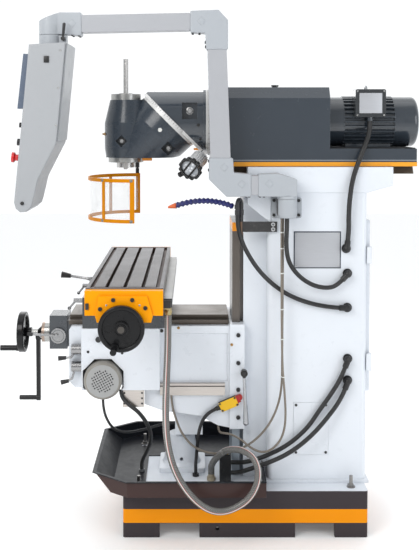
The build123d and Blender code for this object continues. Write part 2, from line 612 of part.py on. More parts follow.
dl = cx(70.5, 82, -867.5, 848.6, 36) + cx(54, 72, -867.5, 848.6, 10)
dl += rod((88, -880, 852), (88, -985, 858), 5.5) + cx(80, 91, -875, 851.6, 8)
dl += rod((88, -983, 858), (88, -1010, 859.6), 7)
keep("feed_direction_lever", one(dl))

kc = cx(230, 250, CLAMP_Y, 715, 16) - cx(220, 260, CLAMP_Y, 715, 7 + FIT)
kc += rod((240, CLAMP_Y, 703), (240, 4, 565), 7.5) + cone((240, 4, 572), (240, 6, 488), 8.5, 13) + Pos(240, 6, 488) * Sphere(13)
keep("knee_clamp_lever", one(kc))

# ---------------------------------------------------------------- saddle and table
SX_Y, SX_Z = -523.0, 1022.0                         # table screw
sad = box(-250, 250, -733, -358, 923, 1062)
sad -= box(-165.6, 165.6, -800, -300, 900, 940.6)
sad -= box(-120.6, 120.6, -800, -300, 900, 958.6)
sad -= px([(TABLE_YC - 76, 1066), (TABLE_YC + 76, 1066), (TABLE_YC + 96.4, 1043.6), (TABLE_YC - 96.4, 1043.6)], -260, 260)
sad -= cx(-260, 260, SX_Y, SX_Z, 15)
CLAMPS = {"saddle_clamp_lever": (200.0, 1040.0), "table_clamp_lever": (-150.0, 1045.0)}
for x, z in CLAMPS.values():
    sad -= cy(x, -734, -700, z, 7 + FIT)
sad += cy(-228, -752, -730, 1040, 15)
sad += cz(-228, -745, 1040, 1066, 6)
keep("saddle", one(sad))
for name, (x, z) in CLAMPS.items():
    c = cy(x, -734, -704, z, 7) + cy(x, -778, -733.4, z, 10)
    c += rod((x, -768, z), (x, -798, z - 36), 4.5)
    c += Pos(x, -798, z - 36) * Sphere(8)
    keep(name, one(c))
ta = cz(-228, -745, 1056, 1074, 11) - cz(-228, -745, 1050, 1080, 6 + FIT)
ta += rod((-228, -754, 1066), (-228, -858, 1082), 5) + cone((-228, -846, 1080.4), (-228, -893, 1087.4), 10.5, 16)
keep("table_feed_lever", one(ta))

T = TABLE_YC
tab = px([(T - 160, TABLE_TOP), (T + 160, TABLE_TOP), (T + 160, 1096), (T + 128, 1088), (T + 128, 1066), (T + 75, 1066),
          (T + 95, 1044.4), (T - 95, 1044.4), (T - 75, 1066), (T - 128, 1066), (T - 128, 1088), (T - 160, 1096)],
         -TABLE_X, TABLE_X)
for y in (-75, 0, 75):
    tab -= box(-606, 606, T + y - T_SLOT / 2, T + y + T_SLOT / 2, TABLE_TOP - 21, TABLE_TOP + 1)
    tab -= box(-606, 606, T + y - 12.5, T + y + 12.5, TABLE_TOP - 32, TABLE_TOP - 20)
for sy in (-1, 1):
    tab -= box(-606, 606, T + sy * 136 - 8, T + sy * 136 + 8, TABLE_TOP - 12, TABLE_TOP + 1)
for sx in (-1, 1):
    x0, x1 = sorted((sx * 592, sx * 608))
    tab -= box(x0, x1, T - 144, T + 144, TABLE_TOP - 12, TABLE_TOP + 1)
keep("table", one(tab))

near = px([(T - 160, 1168), (T + 160, 1168), (T + 160, 1066), (T + 119, 1066), (T + 112, 1040), (T - 109, 1040),
           (T - 116, 1066), (T - 160, 1066)], TABLE_X, 662)
near += px([(T - 102, 1148), (T + 96, 1148), (T + 119, 1066), (T + 112, 1040), (T - 109, 1040), (T - 116, 1066)], 661, 674)
near += cx(TABLE_X, 676, SX_Y, SX_Z, 40)
far = px([(T - 160, 1168), (T + 160, 1168), (T + 160, 1066), (T + 119, 1066), (T + 112, 1040), (T - 109, 1040),
          (T - 116, 1066), (T - 160, 1066)], -662, -TABLE_X)
far += cx(-670, -TABLE_X, SX_Y, SX_Z, 40)
bore = cx(-700, 700, SX_Y, SX_Z, 14 + FIT)
keep("table_end_brackets", group(one(near - bore), one(far - bore)))

xs = box(-590, 588, T + 160, -321, 1085, 1122)
xs += box(588, 604, T + 160, -326, 1080, 1118)
xs += cz(572, -338, 1052, 1086, 15) + Pos(572, -338, 1066) * extrude(RegularPolygon(19, 6), 5, both=True)
keep("table_scale", one(xs))


def kidneys(place, r_at, r_hole, length, n=3):
    out = []
    for i in range(n):
        a = 2 * math.pi * (i + 0.25) / n
        out.append(place * Pos(r_at * math.cos(a), r_at * math.sin(a), 0) * Cylinder(r_hole, length))
    return out


PX_W = Pos(709, SX_Y, SX_Z) * Rot(0, 90, 0)
xw = cx(688, 718, SX_Y, SX_Z, WHEEL_R) - cx(680, 730, SX_Y, SX_Z, 77)
xw = soft(xw, xw.edges().filter_by(GeomType.CIRCLE), 6)
xw += cx(696, 706, SX_Y, SX_Z, 78)
for k in kidneys(PX_W, 52, 17, 12):
    xw -= k
xw += cx(679, 724, SX_Y, SX_Z, 30) - (cx(718, 725, SX_Y, SX_Z, 25.5) - cx(710, 730, SX_Y, SX_Z, 19))
xw += cx(722, 730, SX_Y, SX_Z, 14)
xw += cx(716, 724, -549, 947, 16) + cx(722, 796, -549, 947, 13)
xw += cx(-676, 690, SX_Y, SX_Z, 14)
keep("table_handwheel", one(xw))

PY_W = Pos(0, -1045, 850) * Rot(90, 0, 0)
yw = cy(0, -1062, -1030, 850, 95.5) - cy(0, -1070, -1010, 850, 77)
yw = soft(yw, yw.edges().filter_by(GeomType.CIRCLE), 6)
yw += cy(0, -1050, -1040, 850, 78)
for k in kidneys(PY_W, 52, 15, 60):
    yw -= k
yw += cy(0, -1058, -1004, 850, 22) + cy(0, -1006, -848, 850, 14)
yw += cone((0, -974, 850), (0, -950, 850), 14, 38) + cy(0, -952, -913, 850, 47)
yw += cy(42, -1070, -1058, 783, 15) + cy(42, -1146, -1068, 783, 13)
keep("cross_handwheel", one(yw))

zc = cy(CRANK[0], -1004, -973, CRANK[1], 22) + cy(CRANK[0], -975, -755, CRANK[1], 11)
zc += prism([(CRANK[0] - 15, -1002, CRANK[1]), (CRANK[0] + 15, -1002, CRANK[1]), (CRANK[0] + 12, -1002, 500),
             (CRANK[0] - 12, -1002, 500)], (0, 19, 0))
zc += cy(CRANK[0], -1002, -983, 498, 15)
zc += cy(CRANK[0], -1086, -1001, 498, 11.5)
keep("elevating_crank", one(zc))

# ---------------------------------------------------------------- tray fittings
jb = box(168, 236, -112, -60, BASE_Z, 330)
jb = soft(jb, vertical(jb), 6)
jb += box(172, 232, -108, -64, 329, 338)
spig = cz(200, -150, BASE_Z, 226, 20) + cz(200, -150, 225, 240, 15)
grom = cz(152, -221, BASE_Z, 222, 15)
hook = cz(100, -474, 214, 224, 14)
keep("tray_fittings", group(one(jb), one(spig), one(grom), one(hook)))


# ---------------------------------------------------------------- cords
def cord(label, pts, r):
    """Round flexible line through its route points, each corner as open as its runs allow."""
    vs = [Vector(*p) for p in pts]
    radii = []
    for a, b, c in zip(vs, vs[1:], vs[2:]):
        u, w = (b - a), (c - b)
        turn = math.radians(u.get_angle(w))
        radii.append(0.45 * min(u.length, w.length) / math.tan(turn / 2))
    path = FilletPolyline(*pts, radius=radii)
    start = Plane(origin=vs[0], z_dir=vs[1] - vs[0])
    tube = sweep(start * Circle(r), path=path)
    want = math.pi * r * r * path.length
    print(label, "length", round(path.length), "radii", [round(q) for q in radii], "volume ratio", round(tube.volume / want, 4))
    return tube


def off(p, d, k):
    return (p[0], p[1] + d[0] * k, p[2] + d[1] * k)


LS_DIR = (-math.cos(math.radians(23)), -math.sin(math.radians(23)))
LS_END = (216, -71.5 + 62 * LS_DIR[0], 568.5 + 62 * LS_DIR[1])
E1, D1 = EXITS[0]
E2, D2 = EXITS[1]
E3, D3 = EXITS[2]
E4, D4 = EXITS[3]
E5, D5 = EXITS[4]
ROUTES = {
    "motor_conduit": (11.0, [(146, 578, 1858), (146, 578, 1828), (160, 570, 1790), (200, 546, 1744), (232, 514, 1680),
                             (247, 484, 1600), (252, 470, 1510), (250, 466, 1430), off(E1, D1, 50), E1]),
    "pendant_conduit": (10.0, [(290, 185, 1428), (290, 185, 1378), (288, 181, 1305), (285, 192, 1226), (279, 240, 1162),
                               (270, 300, 1122), (258, 362, 1106), off(E2, D2, 40), E2]),
    "coolant_feed_hose": (10.0, [(254, -34, 1436), (254, -34, 1394), (253, -20, 1330), (251, 10, 1264), (248, 60, 1186), (245, 130, 1116),
                                 (243, 210, 1064), (242, 305, 1031), off(E3, D3, 40), E3]),
    "knee_conduit_upper": (10.0, [E4, off(E4, D4, 60), (243, 382, 605), (245, 338, 545), (250, 288, 470), (254, 200, 392), (256, 100, 342),
                                  (250, 26, 316), (230, -8, 302), (210, -30, 295), (206, -46, 294), (206, -60, 294)]),
    "knee_conduit_lower": (10.0, [E5, off(E5, D5, 50), (262, 372, 516), (278, 300, 440), (284, 205, 366), (280, 110, 320),
                                  (262, 30, 286), (240, -6, 265), (221, -28, 253), (216, -45, 250), (216, -60, 250)]),
    "scale_cable_cross": (5.0, [(264, 170, 1428), (264, 170, 1330), (262.5, 168, 800), (260, 168, 660), (257, 148, 560), (252, 104, 470),
                                (246, 30, 392), (240, -60, 352), (234, -150, 342), (226, -230, 368), (219, -284, 428),
                                (212, -312, 496), (206, -331, 562), (205, -333, 604)]),
    "scale_cable_table": (5.0, [(275, 162, 1428), (275, 162, 1330), (277, 165, 780), (280, 178, 640), (284, 184, 520), (286, 170, 440),
                                (282, 130, 384), (276, 80, 362), (268, 30, 380), (254, -18, 418), (236, -60, 434), (214, -92, 432), (196, -108, 428),
                                (186, -116, 436), (183, -118, 457)]),
    "drain_hose": (15.0, [(572, -338, 1052), (572, -338, 930), (562, -345, 776), (544, -350, 640), (526, -346, 508), (508, -322, 392),
                          (492, -280, 300), (478, -224, 226), (468, -166, 182), (464, -112, 170), (464, -54, 186),
                          (462, 8, 226), (458, 44, 288), (444, 52, 348), (412, 30, 396), (362, -24, 410), (308, -82, 388),
                          (270, -114, 352), (236, -138, 314), (211, -149, 282), (200, -150, 262), (200, -150, 240)]),
    "limit_switch_cable": (8.0, [LS_END, off(LS_END, LS_DIR, 26), (214, -186, 502), (208, -206, 446), (199, -213, 382),
                                 (184, -218, 316), (162, -222, 264), (152, -221, 240), (152, -221, 222)]),
    "feed_motor_cable": (6.0, [(262, -640, 603.6), (262, -640, 572), (254, -627, 512), (228, -596, 454), (190, -540, 424),
                               (120, -460, 418), (72, -376, 428), (60, -346, 430), (60, -317, 430)]),
    "feed_conduit": (9.0, [(244, -560, 640), (244, -560, 612), (256, -530, 580), (254, -476, 540), (218, -436, 466), (164, -424, 390),
                           (118, -448, 316), (102, -472, 266), (100, -474, 245), (100, -474, 224)]),
}
PAIRS = {"knee_conduits": ("knee_conduit_upper", "knee_conduit_lower"),
         "scale_cables": ("scale_cable_cross", "scale_cable_table")}


TUBES = {name: cord(name, pts, r) for name, (r, pts) in ROUTES.items()}
for name, members in PAIRS.items():
    keep(name, group(*[TUBES.pop(m) for m in members]))
for name, tube in TUBES.items():
    keep(name, tube)

print(len(NODES), "nodes")
for name, shape in NODES.items():
    export_step(shape, f"parts/{name}.step")
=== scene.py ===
import bpy, bmesh, math
from mathutils import Vector, Matrix


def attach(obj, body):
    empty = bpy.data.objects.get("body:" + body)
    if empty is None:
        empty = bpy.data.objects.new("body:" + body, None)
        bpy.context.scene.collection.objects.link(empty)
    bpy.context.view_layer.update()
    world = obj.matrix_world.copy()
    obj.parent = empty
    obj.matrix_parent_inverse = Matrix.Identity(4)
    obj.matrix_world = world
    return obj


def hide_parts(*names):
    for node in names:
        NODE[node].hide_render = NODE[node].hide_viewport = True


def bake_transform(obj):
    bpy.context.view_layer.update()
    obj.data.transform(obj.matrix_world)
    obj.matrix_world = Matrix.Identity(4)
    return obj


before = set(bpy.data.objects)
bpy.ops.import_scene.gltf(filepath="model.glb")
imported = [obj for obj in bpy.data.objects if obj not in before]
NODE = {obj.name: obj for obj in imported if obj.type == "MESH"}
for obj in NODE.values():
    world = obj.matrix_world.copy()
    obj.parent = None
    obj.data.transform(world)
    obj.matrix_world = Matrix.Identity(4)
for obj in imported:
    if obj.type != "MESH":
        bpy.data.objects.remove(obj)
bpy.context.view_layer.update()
SCN = bpy.context.scene


def lin(r, g, b):
    """Linear colour from 8-bit display values."""
    out = []
    for c in (r, g, b):
        c /= 255.0
        out.append(c / 12.92 if c <= 0.04045 else ((c + 0.055) / 1.055) ** 2.4)
    return tuple(out)


def shade(c, k):
    return tuple(min(1.0, x * k) for x in c)


# ------------------------------------------------------------------ node graphs
class Graph:
    """One material: a principled shader with helpers for procedural masks in the row frame."""

    def __init__(self, name):
        self.m = bpy.data.materials.new(name)
        self.m.use_nodes = True
        self.t = self.m.node_tree
        self.t.nodes.clear()
        self.out = self.t.nodes.new("ShaderNodeOutputMaterial")
        self.bsdf = self.t.nodes.new("ShaderNodeBsdfPrincipled")
        self.t.links.new(self.bsdf.outputs[0], self.out.inputs[0])
        self._obj = None
        self._xyz = None
        self._nrm = None
        self._bevel = {}

    def node(self, kind, **props):
        n = self.t.nodes.new(kind)
        for k, v in props.items():
            setattr(n, k, v)
        return n

    def put(self, sock, v):
        if isinstance(v, bpy.types.NodeSocket):
            self.t.links.new(v, sock)
        elif isinstance(v, (tuple, list)) and len(v) == 3 and sock.type == "RGBA":
            sock.default_value = (*v, 1.0)
        else:
            sock.default_value = v

    def pos(self):
        if self._obj is None:
            self._obj = self.node("ShaderNodeTexCoord").outputs["Object"]
        return self._obj

    def uv(self):
        return self.node("ShaderNodeTexCoord").outputs["UV"]

    def xyz(self):
        if self._xyz is None:
            s = self.node("ShaderNodeSeparateXYZ")
            self.put(s.inputs[0], self.pos())
            self._xyz = (s.outputs[0], s.outputs[1], s.outputs[2])
        return self._xyz

    def normal(self):
        """Surface normal in object space, so that a mask moves with its piece."""
        if self._nrm is None:
            g = self.node("ShaderNodeTexCoord").outputs["Normal"]
            s = self.node("ShaderNodeSeparateXYZ")
            self.put(s.inputs[0], g)
            self._nrm = (s.outputs[0], s.outputs[1], s.outputs[2])
        return self._nrm

    def math(self, op, a, b=0.0, c=0.0, clamp=False):
        n = self.node("ShaderNodeMath", operation=op, use_clamp=clamp)
        self.put(n.inputs[0], a)
        self.put(n.inputs[1], b)
        self.put(n.inputs[2], c)
        return n.outputs[0]

    def mul(self, *vals):
        out = vals[0]
        for v in vals[1:]:
            out = self.math("MULTIPLY", out, v)
        return out

    def either(self, *vals):
        out = vals[0]
        for v in vals[1:]:
            out = self.math("MAXIMUM", out, v)
        return out

    def inv(self, v):
        return self.math("SUBTRACT", 1.0, v)

    def step(self, v, lo, hi):
        """Smooth 0 to 1 as v goes from lo to hi."""
        n = self.node("ShaderNodeMapRange", interpolation_type="SMOOTHSTEP")
        self.put(n.inputs["Value"], v)
        n.inputs["From Min"].default_value = min(lo, hi)
        n.inputs["From Max"].default_value = max(lo, hi)
        n.inputs["To Min"].default_value = 0.0 if lo < hi else 1.0
        n.inputs["To Max"].default_value = 1.0 if lo < hi else 0.0
        return n.outputs[0]

    def remap(self, v, a, b, c, d):
        n = self.node("ShaderNodeMapRange")
        self.put(n.inputs["Value"], v)
        n.inputs["From Min"].default_value = a
        n.inputs["From Max"].default_value = b
        n.inputs["To Min"].default_value = c
        n.inputs["To Max"].default_value = d
        return n.outputs[0]

    def mix(self, fac, a, b, blend="MIX"):
        n = self.node("ShaderNodeMix", data_type="RGBA", blend_type=blend)
        self.put(n.inputs[0], fac)
        self.put(n.inputs[6], a)
        self.put(n.inputs[7], b)
        return n.outputs[2]

    def mixf(self, fac, a, b):
        n = self.node("ShaderNodeMix", data_type="FLOAT")
        self.put(n.inputs[0], fac)
        self.put(n.inputs[2], a)
        self.put(n.inputs[3], b)
        return n.outputs[0]

    def scaled(self, sx, sy, sz, vec=None):
        n = self.node("ShaderNodeMapping")
        self.put(n.inputs["Vector"], vec if vec is not None else self.pos())
        n.inputs["Scale"].default_value = (sx, sy, sz)
        return n.outputs[0]

    def noise(self, scale, detail=3.0, rough=0.5, vec=None, warp=0.0):
        n = self.node("ShaderNodeTexNoise")
        self.put(n.inputs["Vector"], vec if vec is not None else self.pos())
        n.inputs["Scale"].default_value = scale
        n.inputs["Detail"].default_value = detail
        n.inputs["Roughness"].default_value = rough
        n.inputs["Distortion"].default_value = warp
        return n.outputs[0]

    def voronoi(self, scale, vec=None, feature="F1"):
        n = self.node("ShaderNodeTexVoronoi", feature=feature)
        self.put(n.inputs["Vector"], vec if vec is not None else self.pos())
        n.inputs["Scale"].default_value = scale
        return n.outputs["Distance"]

    def span(self, v, lo, hi):
        """1 between lo and hi."""
        return self.mul(self.math("GREATER_THAN", v, lo), self.math("LESS_THAN", v, hi))

    def box(self, x0=None, x1=None, y0=None, y1=None, z0=None, z1=None):
        out = None
        for v, lo, hi in zip(self.xyz(), (x0, y0, z0), (x1, y1, z1)):
            for lim, op in ((lo, "GREATER_THAN"), (hi, "LESS_THAN")):
                if lim is not None:
                    s = self.math(op, v, lim)
                    out = s if out is None else self.mul(out, s)
        return out

    def along(self, origin, axis):
        """(distance along the axis from the origin, distance from the axis)."""
        a = Vector(axis).normalized()
        d = self.node("ShaderNodeVectorMath", operation="SUBTRACT")
        self.put(d.inputs[0], self.pos())
        d.inputs[1].default_value = tuple(origin)
        dot = self.node("ShaderNodeVectorMath", operation="DOT_PRODUCT")
        self.put(dot.inputs[0], d.outputs[0])
        dot.inputs[1].default_value = tuple(a)
        crs = self.node("ShaderNodeVectorMath", operation="CROSS_PRODUCT")
        self.put(crs.inputs[0], d.outputs[0])
        crs.inputs[1].default_value = tuple(a)
        ln = self.node("ShaderNodeVectorMath", operation="LENGTH")
        self.put(ln.inputs[0], crs.outputs[0])
        return dot.outputs["Value"], ln.outputs["Value"]

    def cyl(self, origin, axis, h0, h1, r0=None, r1=None):
        h, r = self.along(origin, axis)
        out = self.span(h, h0, h1)
        if r0 is not None:
            out = self.mul(out, self.math("GREATER_THAN", r, r0))
        if r1 is not None:
            out = self.mul(out, self.math("LESS_THAN", r, r1))
        return out

    def rounded(self, radius):
        """Normal with the edges rounded by that radius."""
        if radius not in self._bevel:
            n = self.node("ShaderNodeBevel", samples=4)
            n.inputs["Radius"].default_value = radius
            self._bevel[radius] = n.outputs[0]
        return self._bevel[radius]

    def edge(self, radius):
        """1 on edges sharper than the given radius."""
        g = self.node("ShaderNodeNewGeometry").outputs["Normal"]
        dot = self.node("ShaderNodeVectorMath", operation="DOT_PRODUCT")
        self.put(dot.inputs[0], g)
        self.put(dot.inputs[1], self.rounded(radius))
        return self.step(self.inv(dot.outputs["Value"]), 0.02, 0.16)

    def cavity(self, distance):
        n = self.node("ShaderNodeAmbientOcclusion", samples=4)
        n.inputs["Distance"].default_value = distance
        return self.inv(n.outputs["AO"])

    def bump(self, height, strength, distance, normal=None):
        n = self.node("ShaderNodeBump")
        self.put(n.inputs["Height"], height)
        n.inputs["Strength"].default_value = strength
        n.inputs["Distance"].default_value = distance
        if normal is not None:
            self.put(n.inputs["Normal"], normal)
        return n.outputs[0]

    def finish(self, color, rough, metal=0.0, normal=None, coat=0.0, coat_rough=0.1, spec=0.5, **extra):
        b = self.bsdf
        self.put(b.inputs["Base Color"], color)
        self.put(b.inputs["Roughness"], rough)
        self.put(b.inputs["Metallic"], metal)
        b.inputs["Specular IOR Level"].default_value = spec
        b.inputs["Coat Weight"].default_value = coat
        b.inputs["Coat Roughness"].default_value = coat_rough
        for k, v in extra.items():
            self.put(b.inputs[k], v)
        if normal is not None:
            self.put(b.inputs["Normal"], normal)
        return self.m


# ------------------------------------------------------------------ finishes
def paint(name, col, rough=0.30, coat=0.25, var=0.05, wave=0.25, peel=0.10, edge_r=0.003, wear=0.35, wear_col=None,
          cavity_shade=0.35, cavity_shade_dist=0.05, regions=(), spread=0.08, shine=0.5):
    """Gloss paint over filled castings: slow colour drift, orange peel, wavy filler, rubbed edges, and painted shade
    that darkens and dulls the corners and recesses.
    """
    g = Graph(name)
    slow = g.noise(2.3, 4.0, 0.55)
    fine = g.noise(240.0, 2.0)
    mid = g.noise(22.0, 4.0, 0.6, warp=0.4)
    c = g.mix(slow, shade(col, 1.0 - var), shade(col, 1.0 + var * 0.7))
    blot = g.step(mid, 0.56, 0.74)
    c = g.mix(g.mul(blot, 0.16), c, shade(col, 0.82))
    r = g.remap(mid, 0.3, 0.7, rough - spread * 0.6, rough + spread)
    metal = 0.0
    for mask, spec in regions:
        m = mask(g)
        rc = spec["col"]
        rc2 = g.mix(slow, shade(rc, 1.0 - var), shade(rc, 1.0 + var * 0.7))
        if spec.get("metal"):
            grain = g.noise(1.0, 3.0, 0.6, vec=g.scaled(*spec.get("grain", (60, 60, 900))))
            rc2 = g.mix(g.step(grain, 0.35, 0.7), shade(rc, 0.86), shade(rc, 1.08))
            r2 = g.remap(grain, 0.3, 0.7, spec.get("rough", 0.28) - 0.06, spec.get("rough", 0.28) + 0.1)
            metal = g.mixf(m, metal, spec["metal"])
        else:
            r2 = g.remap(mid, 0.3, 0.7, spec.get("rough", rough) - 0.04, spec.get("rough", rough) + 0.08)
            if not isinstance(metal, float):
                metal = g.mixf(m, metal, 0.0)
        c = g.mix(m, c, rc2)
        r = g.mixf(m, r, r2)
    if wear > 0:
        scuff = g.mul(g.edge(edge_r), g.step(g.noise(38.0, 5.0, 0.65), 0.46, 0.66))
        c = g.mix(g.mul(scuff, wear), c, wear_col or shade(col, 1.35))
        r = g.mixf(g.mul(scuff, 0.6), r, 0.5)
    # painted shade: colour darkened where ambient occlusion is high, in corners and recesses, which are also made
    # rougher
    if cavity_shade > 0:
        cavity_shade_mask = g.mul(g.step(g.cavity(cavity_shade_dist), 0.25, 0.95), cavity_shade)
        c = g.mix(cavity_shade_mask, c, g.mix(mid, shade(col, 0.34), shade(col, 0.5)))
        r = g.mixf(cavity_shade_mask, r, 0.62)
    n1 = g.bump(g.noise(9.0, 2.0), wave, 0.004, g.rounded(edge_r))
    n2 = g.bump(fine, peel, 0.0006, n1)
    return g.finish(c, r, metal, n2, coat=coat, coat_rough=0.06, spec=shine)


def metal(name, col, rough=0.28, grain=(40, 40, 900), var=0.12, edge_r=0.0015, stain=0.25, stain_and_shade_col=(0.10, 0.085, 0.07), regions=(), bumpy=0.12,
          cavity_shade=0.4, metallic=1.0):
    """Machined metal: directional tool marks, oil stains, painted shade in the corners, bright rubbed edges."""
    g = Graph(name)
    lines = g.noise(1.0, 4.0, 0.62, vec=g.scaled(*grain))
    slow = g.noise(5.0, 5.0, 0.6, warp=0.6)
    c = g.mix(g.step(lines, 0.3, 0.72), shade(col, 1.0 - var), shade(col, 1.0 + var * 0.6))
    c = g.mix(g.mul(g.step(slow, 0.52, 0.72), stain), c, stain_and_shade_col)
    r = g.math("ADD", g.remap(lines, 0.3, 0.7, rough - 0.07, rough + 0.1), g.remap(slow, 0.3, 0.7, -0.04, 0.08))
    m = metallic
    for mask, spec in regions:
        k = mask(g)
        rc = g.mix(slow, shade(spec["col"], 0.88), shade(spec["col"], 1.1))
        c = g.mix(k, c, rc)
        r = g.mixf(k, r, g.remap(slow, 0.3, 0.7, spec["rough"] - 0.05, spec["rough"] + 0.08))
        m = g.mixf(k, m, spec.get("metal", 0.0))
    c = g.mix(g.mul(g.edge(edge_r), 0.35), c, shade(col, 1.4))
    # painted shade: corners and recesses darkened where ambient occlusion is high, in a dark tone of the stain colour
    if cavity_shade > 0:
        c = g.mix(g.mul(g.step(g.cavity(0.03), 0.3, 0.95), cavity_shade), c, shade(stain_and_shade_col, 0.6))
    n = g.bump(lines, bumpy, 0.0004, g.rounded(edge_r))
    return g.finish(c, r, m, n)


def plastic(name, col, rough=0.4, grain=420.0, bump=0.2, var=0.10, coat=0.0, edge_r=0.001, wear=0.25, regions=(), dust=0.12):
    """Moulded plastic or rubber: fine texture, dust film, worn shine on edges."""
    g = Graph(name)
    slow = g.noise(11.0, 4.0, 0.6)
    tex = g.noise(grain, 3.0, 0.6)
    c = g.mix(slow, shade(col, 1.0 - var), shade(col, 1.0 + var))
    r = g.remap(slow, 0.3, 0.7, rough - 0.07, rough + 0.08)
    for mask, spec in regions:
        k = mask(g)
        c = g.mix(k, c, g.mix(slow, shade(spec["col"], 0.9), shade(spec["col"], 1.1)))
        r = g.mixf(k, r, g.remap(slow, 0.3, 0.7, spec["rough"] - 0.05, spec["rough"] + 0.07))
    haze = g.step(g.noise(34.0, 5.0, 0.7), 0.5, 0.75)
    c = g.mix(g.mul(haze, dust), c, (0.34, 0.33, 0.32))
    c = g.mix(g.mul(g.edge(edge_r), wear), c, shade(col, 1.9))
    n = g.bump(tex, bump, 0.0004, g.rounded(edge_r))
    return g.finish(c, r, 0.0, n, coat=coat)


WHITE = lin(224, 229, 236)
SLATE = lin(50, 58, 67)
ORANGE = lin(242, 148, 0)
BASE_D = lin(60, 54, 57)
# inside of the drip tray: its own dark slate paint, made darker still as painted shade for the shadowed inside of the
# tray
TRAY_IN_SHADED = lin(28, 30, 35)
TRAY_OUT = lin(66, 49, 47)
PEND = lin(163, 166, 170)
ARM_C = lin(171, 176, 182)
STEEL = (0.56, 0.55, 0.54)
BLACK = lin(26, 26, 28)
SILVER = lin(196, 198, 200)


def dress(material, *nodes):
    for n in nodes:
        o = NODE[n]
        o.data.materials.clear()
        o.data.materials.append(material)


IRON = lin(150, 147, 143)
WAY = lin(104, 97, 91)
TN = Vector((0.0, math.sqrt(0.5), math.sqrt(0.5)))
TC = Vector((0.0, -0.355, 1.854))
LD = Vector((0.80, -0.42, -0.43)).normalized()
LB = Vector((0.205, -0.250, 1.637))
LF = LB - LD * 0.120
LU = LD.cross(Vector((0, 0, 1))).normalized()
LV = LD.cross(LU).normalized()
FN = Vector((0.0, -0.9955, 0.0948)).normalized()
SPIN = (0.0, -0.552, 0.0)

# fixed frame
dress(paint("base_enamel", BASE_D, rough=0.36, coat=0.02, shine=0.15, wear=0.3, wear_col=lin(120, 112, 108), cavity_shade=0.3, regions=[
    (lambda g: g.box(z0=0.066, z1=0.128), dict(col=lin(238, 146, 0), rough=0.4)),
    (lambda g: g.box(z0=0.2094), dict(col=WHITE, rough=0.34))]), "base_casting")
COLUMN = paint("column_enamel", WHITE, rough=0.32, coat=0.3, wear=0.18, wear_col=lin(250, 250, 250), cavity_shade=0.22, regions=[
    (lambda g: g.box(y1=-0.0019), dict(col=WAY, rough=0.34, metal=0.75, grain=(700, 700, 14))),
    (lambda g: g.box(y1=-0.0019, z1=0.462), dict(col=lin(150, 160, 170), rough=0.45)),
    (lambda g: g.box(y1=-0.024, z0=1.352, z1=1.3915), dict(col=ORANGE, rough=0.4)),
    (lambda g: g.box(y1=-0.0019, z0=1.3915), dict(col=lin(150, 150, 152), rough=0.5))])
dress(COLUMN, "column_casting")
dress(paint("door_enamel", WHITE, rough=0.30, coat=0.3, wear=0.2, cavity_shade=0.25, regions=[
    (lambda g: g.box(y0=0.5753, x1=-0.1), dict(col=lin(190, 192, 195), rough=0.2, metal=1.0, grain=(300, 300, 300)))]), "rear_door")
dress(paint("cover_enamel", WHITE, rough=0.30, coat=0.3, wear=0.3, cavity_shade=0.3, regions=[
    (lambda g: g.box(x0=0.2217), dict(col=BLACK, rough=0.38))]), "side_access_cover")
dress(paint("pedestal_enamel", WHITE, rough=0.36, coat=0.2, wear=0.3, cavity_shade=0.4), "screw_pedestal")
dress(metal("bolt_steel", (0.30, 0.29, 0.28), rough=0.34, grain=(500, 500, 900)), "levelling_screws")
dress(plastic("switchgear", lin(78, 82, 88), rough=0.45, regions=[
    (lambda g: g.box(y1=0.3222), dict(col=lin(190, 190, 185), rough=0.35)),
    (lambda g: g.either(*[g.box(y0=0.3222, z0=z - 0.001, z1=z + 0.031) for z in (0.715, 0.885, 1.055, 1.215)]),
     dict(col=lin(170, 174, 178), rough=0.5)),
    (lambda g: g.box(y0=0.4, z0=0.765, z1=0.78), dict(col=lin(40, 90, 60), rough=0.4))]), "electrical_panel")
GLAND = plastic("gland_black", BLACK, rough=0.42)
dress(GLAND, "cable_glands")


dress(plastic("tray_black", lin(30, 31, 33), rough=0.45, regions=[
    (lambda g: g.cyl((0.2, -0.15, 0), (0, 0, 1), 0.2, 0.25, r1=0.0205), dict(col=lin(150, 140, 120), rough=0.3)),
    (lambda g: g.cyl((0.1, -0.474, 0), (0, 0, 1), 0.2, 0.25, r1=0.016), dict(col=lin(90, 92, 95), rough=0.35))]), "tray_fittings")
dress(paint("bracket_coat", ARM_C, rough=0.42, coat=0.05, wear=0.25, cavity_shade=0.3, peel=0.25, regions=[
    (lambda g: g.mul(g.box(x0=0.2363), g.either(g.box(y1=0.144), g.box(y0=0.2295))), dict(col=BLACK, rough=0.38))]), "pendant_bracket")
dress(plastic("coolant_blue", lin(28, 34, 104), rough=0.34, coat=0.2, regions=[
    (lambda g: g.box(y0=-0.0495, x1=0.2365), dict(col=lin(44, 43, 44), rough=0.4)),
    (lambda g: g.mul(g.box(y0=-0.0495, z0=1.4), g.box(x0=0.2365)), dict(col=lin(44, 43, 46), rough=0.34)),
    (lambda g: g.box(x0=0.2342, y0=0.1), dict(col=lin(206, 208, 210), rough=0.25)),
    (lambda g: g.cyl((0.227, -0.017, 0), (0, 0, 1), 1.34, 1.4035, r1=0.0092), dict(col=lin(120, 92, 70), rough=0.35)),
    (lambda g: g.box(y1=-0.3122), dict(col=lin(224, 110, 62), rough=0.35))]), "coolant_line")


def tray_outside(g):
    x, y, _ = g.xyz()
    nx, ny, nz = g.normal()
    out = g.math("ADD", g.mul(nx, x), g.mul(ny, g.math("ADD", y, 0.29)))
    wall = g.mul(g.math("GREATER_THAN", out, 0.02), g.box(z1=0.2782))
    return g.either(wall, g.math("LESS_THAN", nz, -0.5))


# tray inside in its dark paint darkened further by painted shade; outside walls and underside in their own brown paint
dress(paint("tray_enamel", TRAY_IN_SHADED, rough=0.36, coat=0.05, shine=0.18, wear=0.5, wear_col=lin(120, 124, 128), cavity_shade=0.35, regions=[
    (tray_outside, dict(col=TRAY_OUT, rough=0.34))]), "drip_tray")

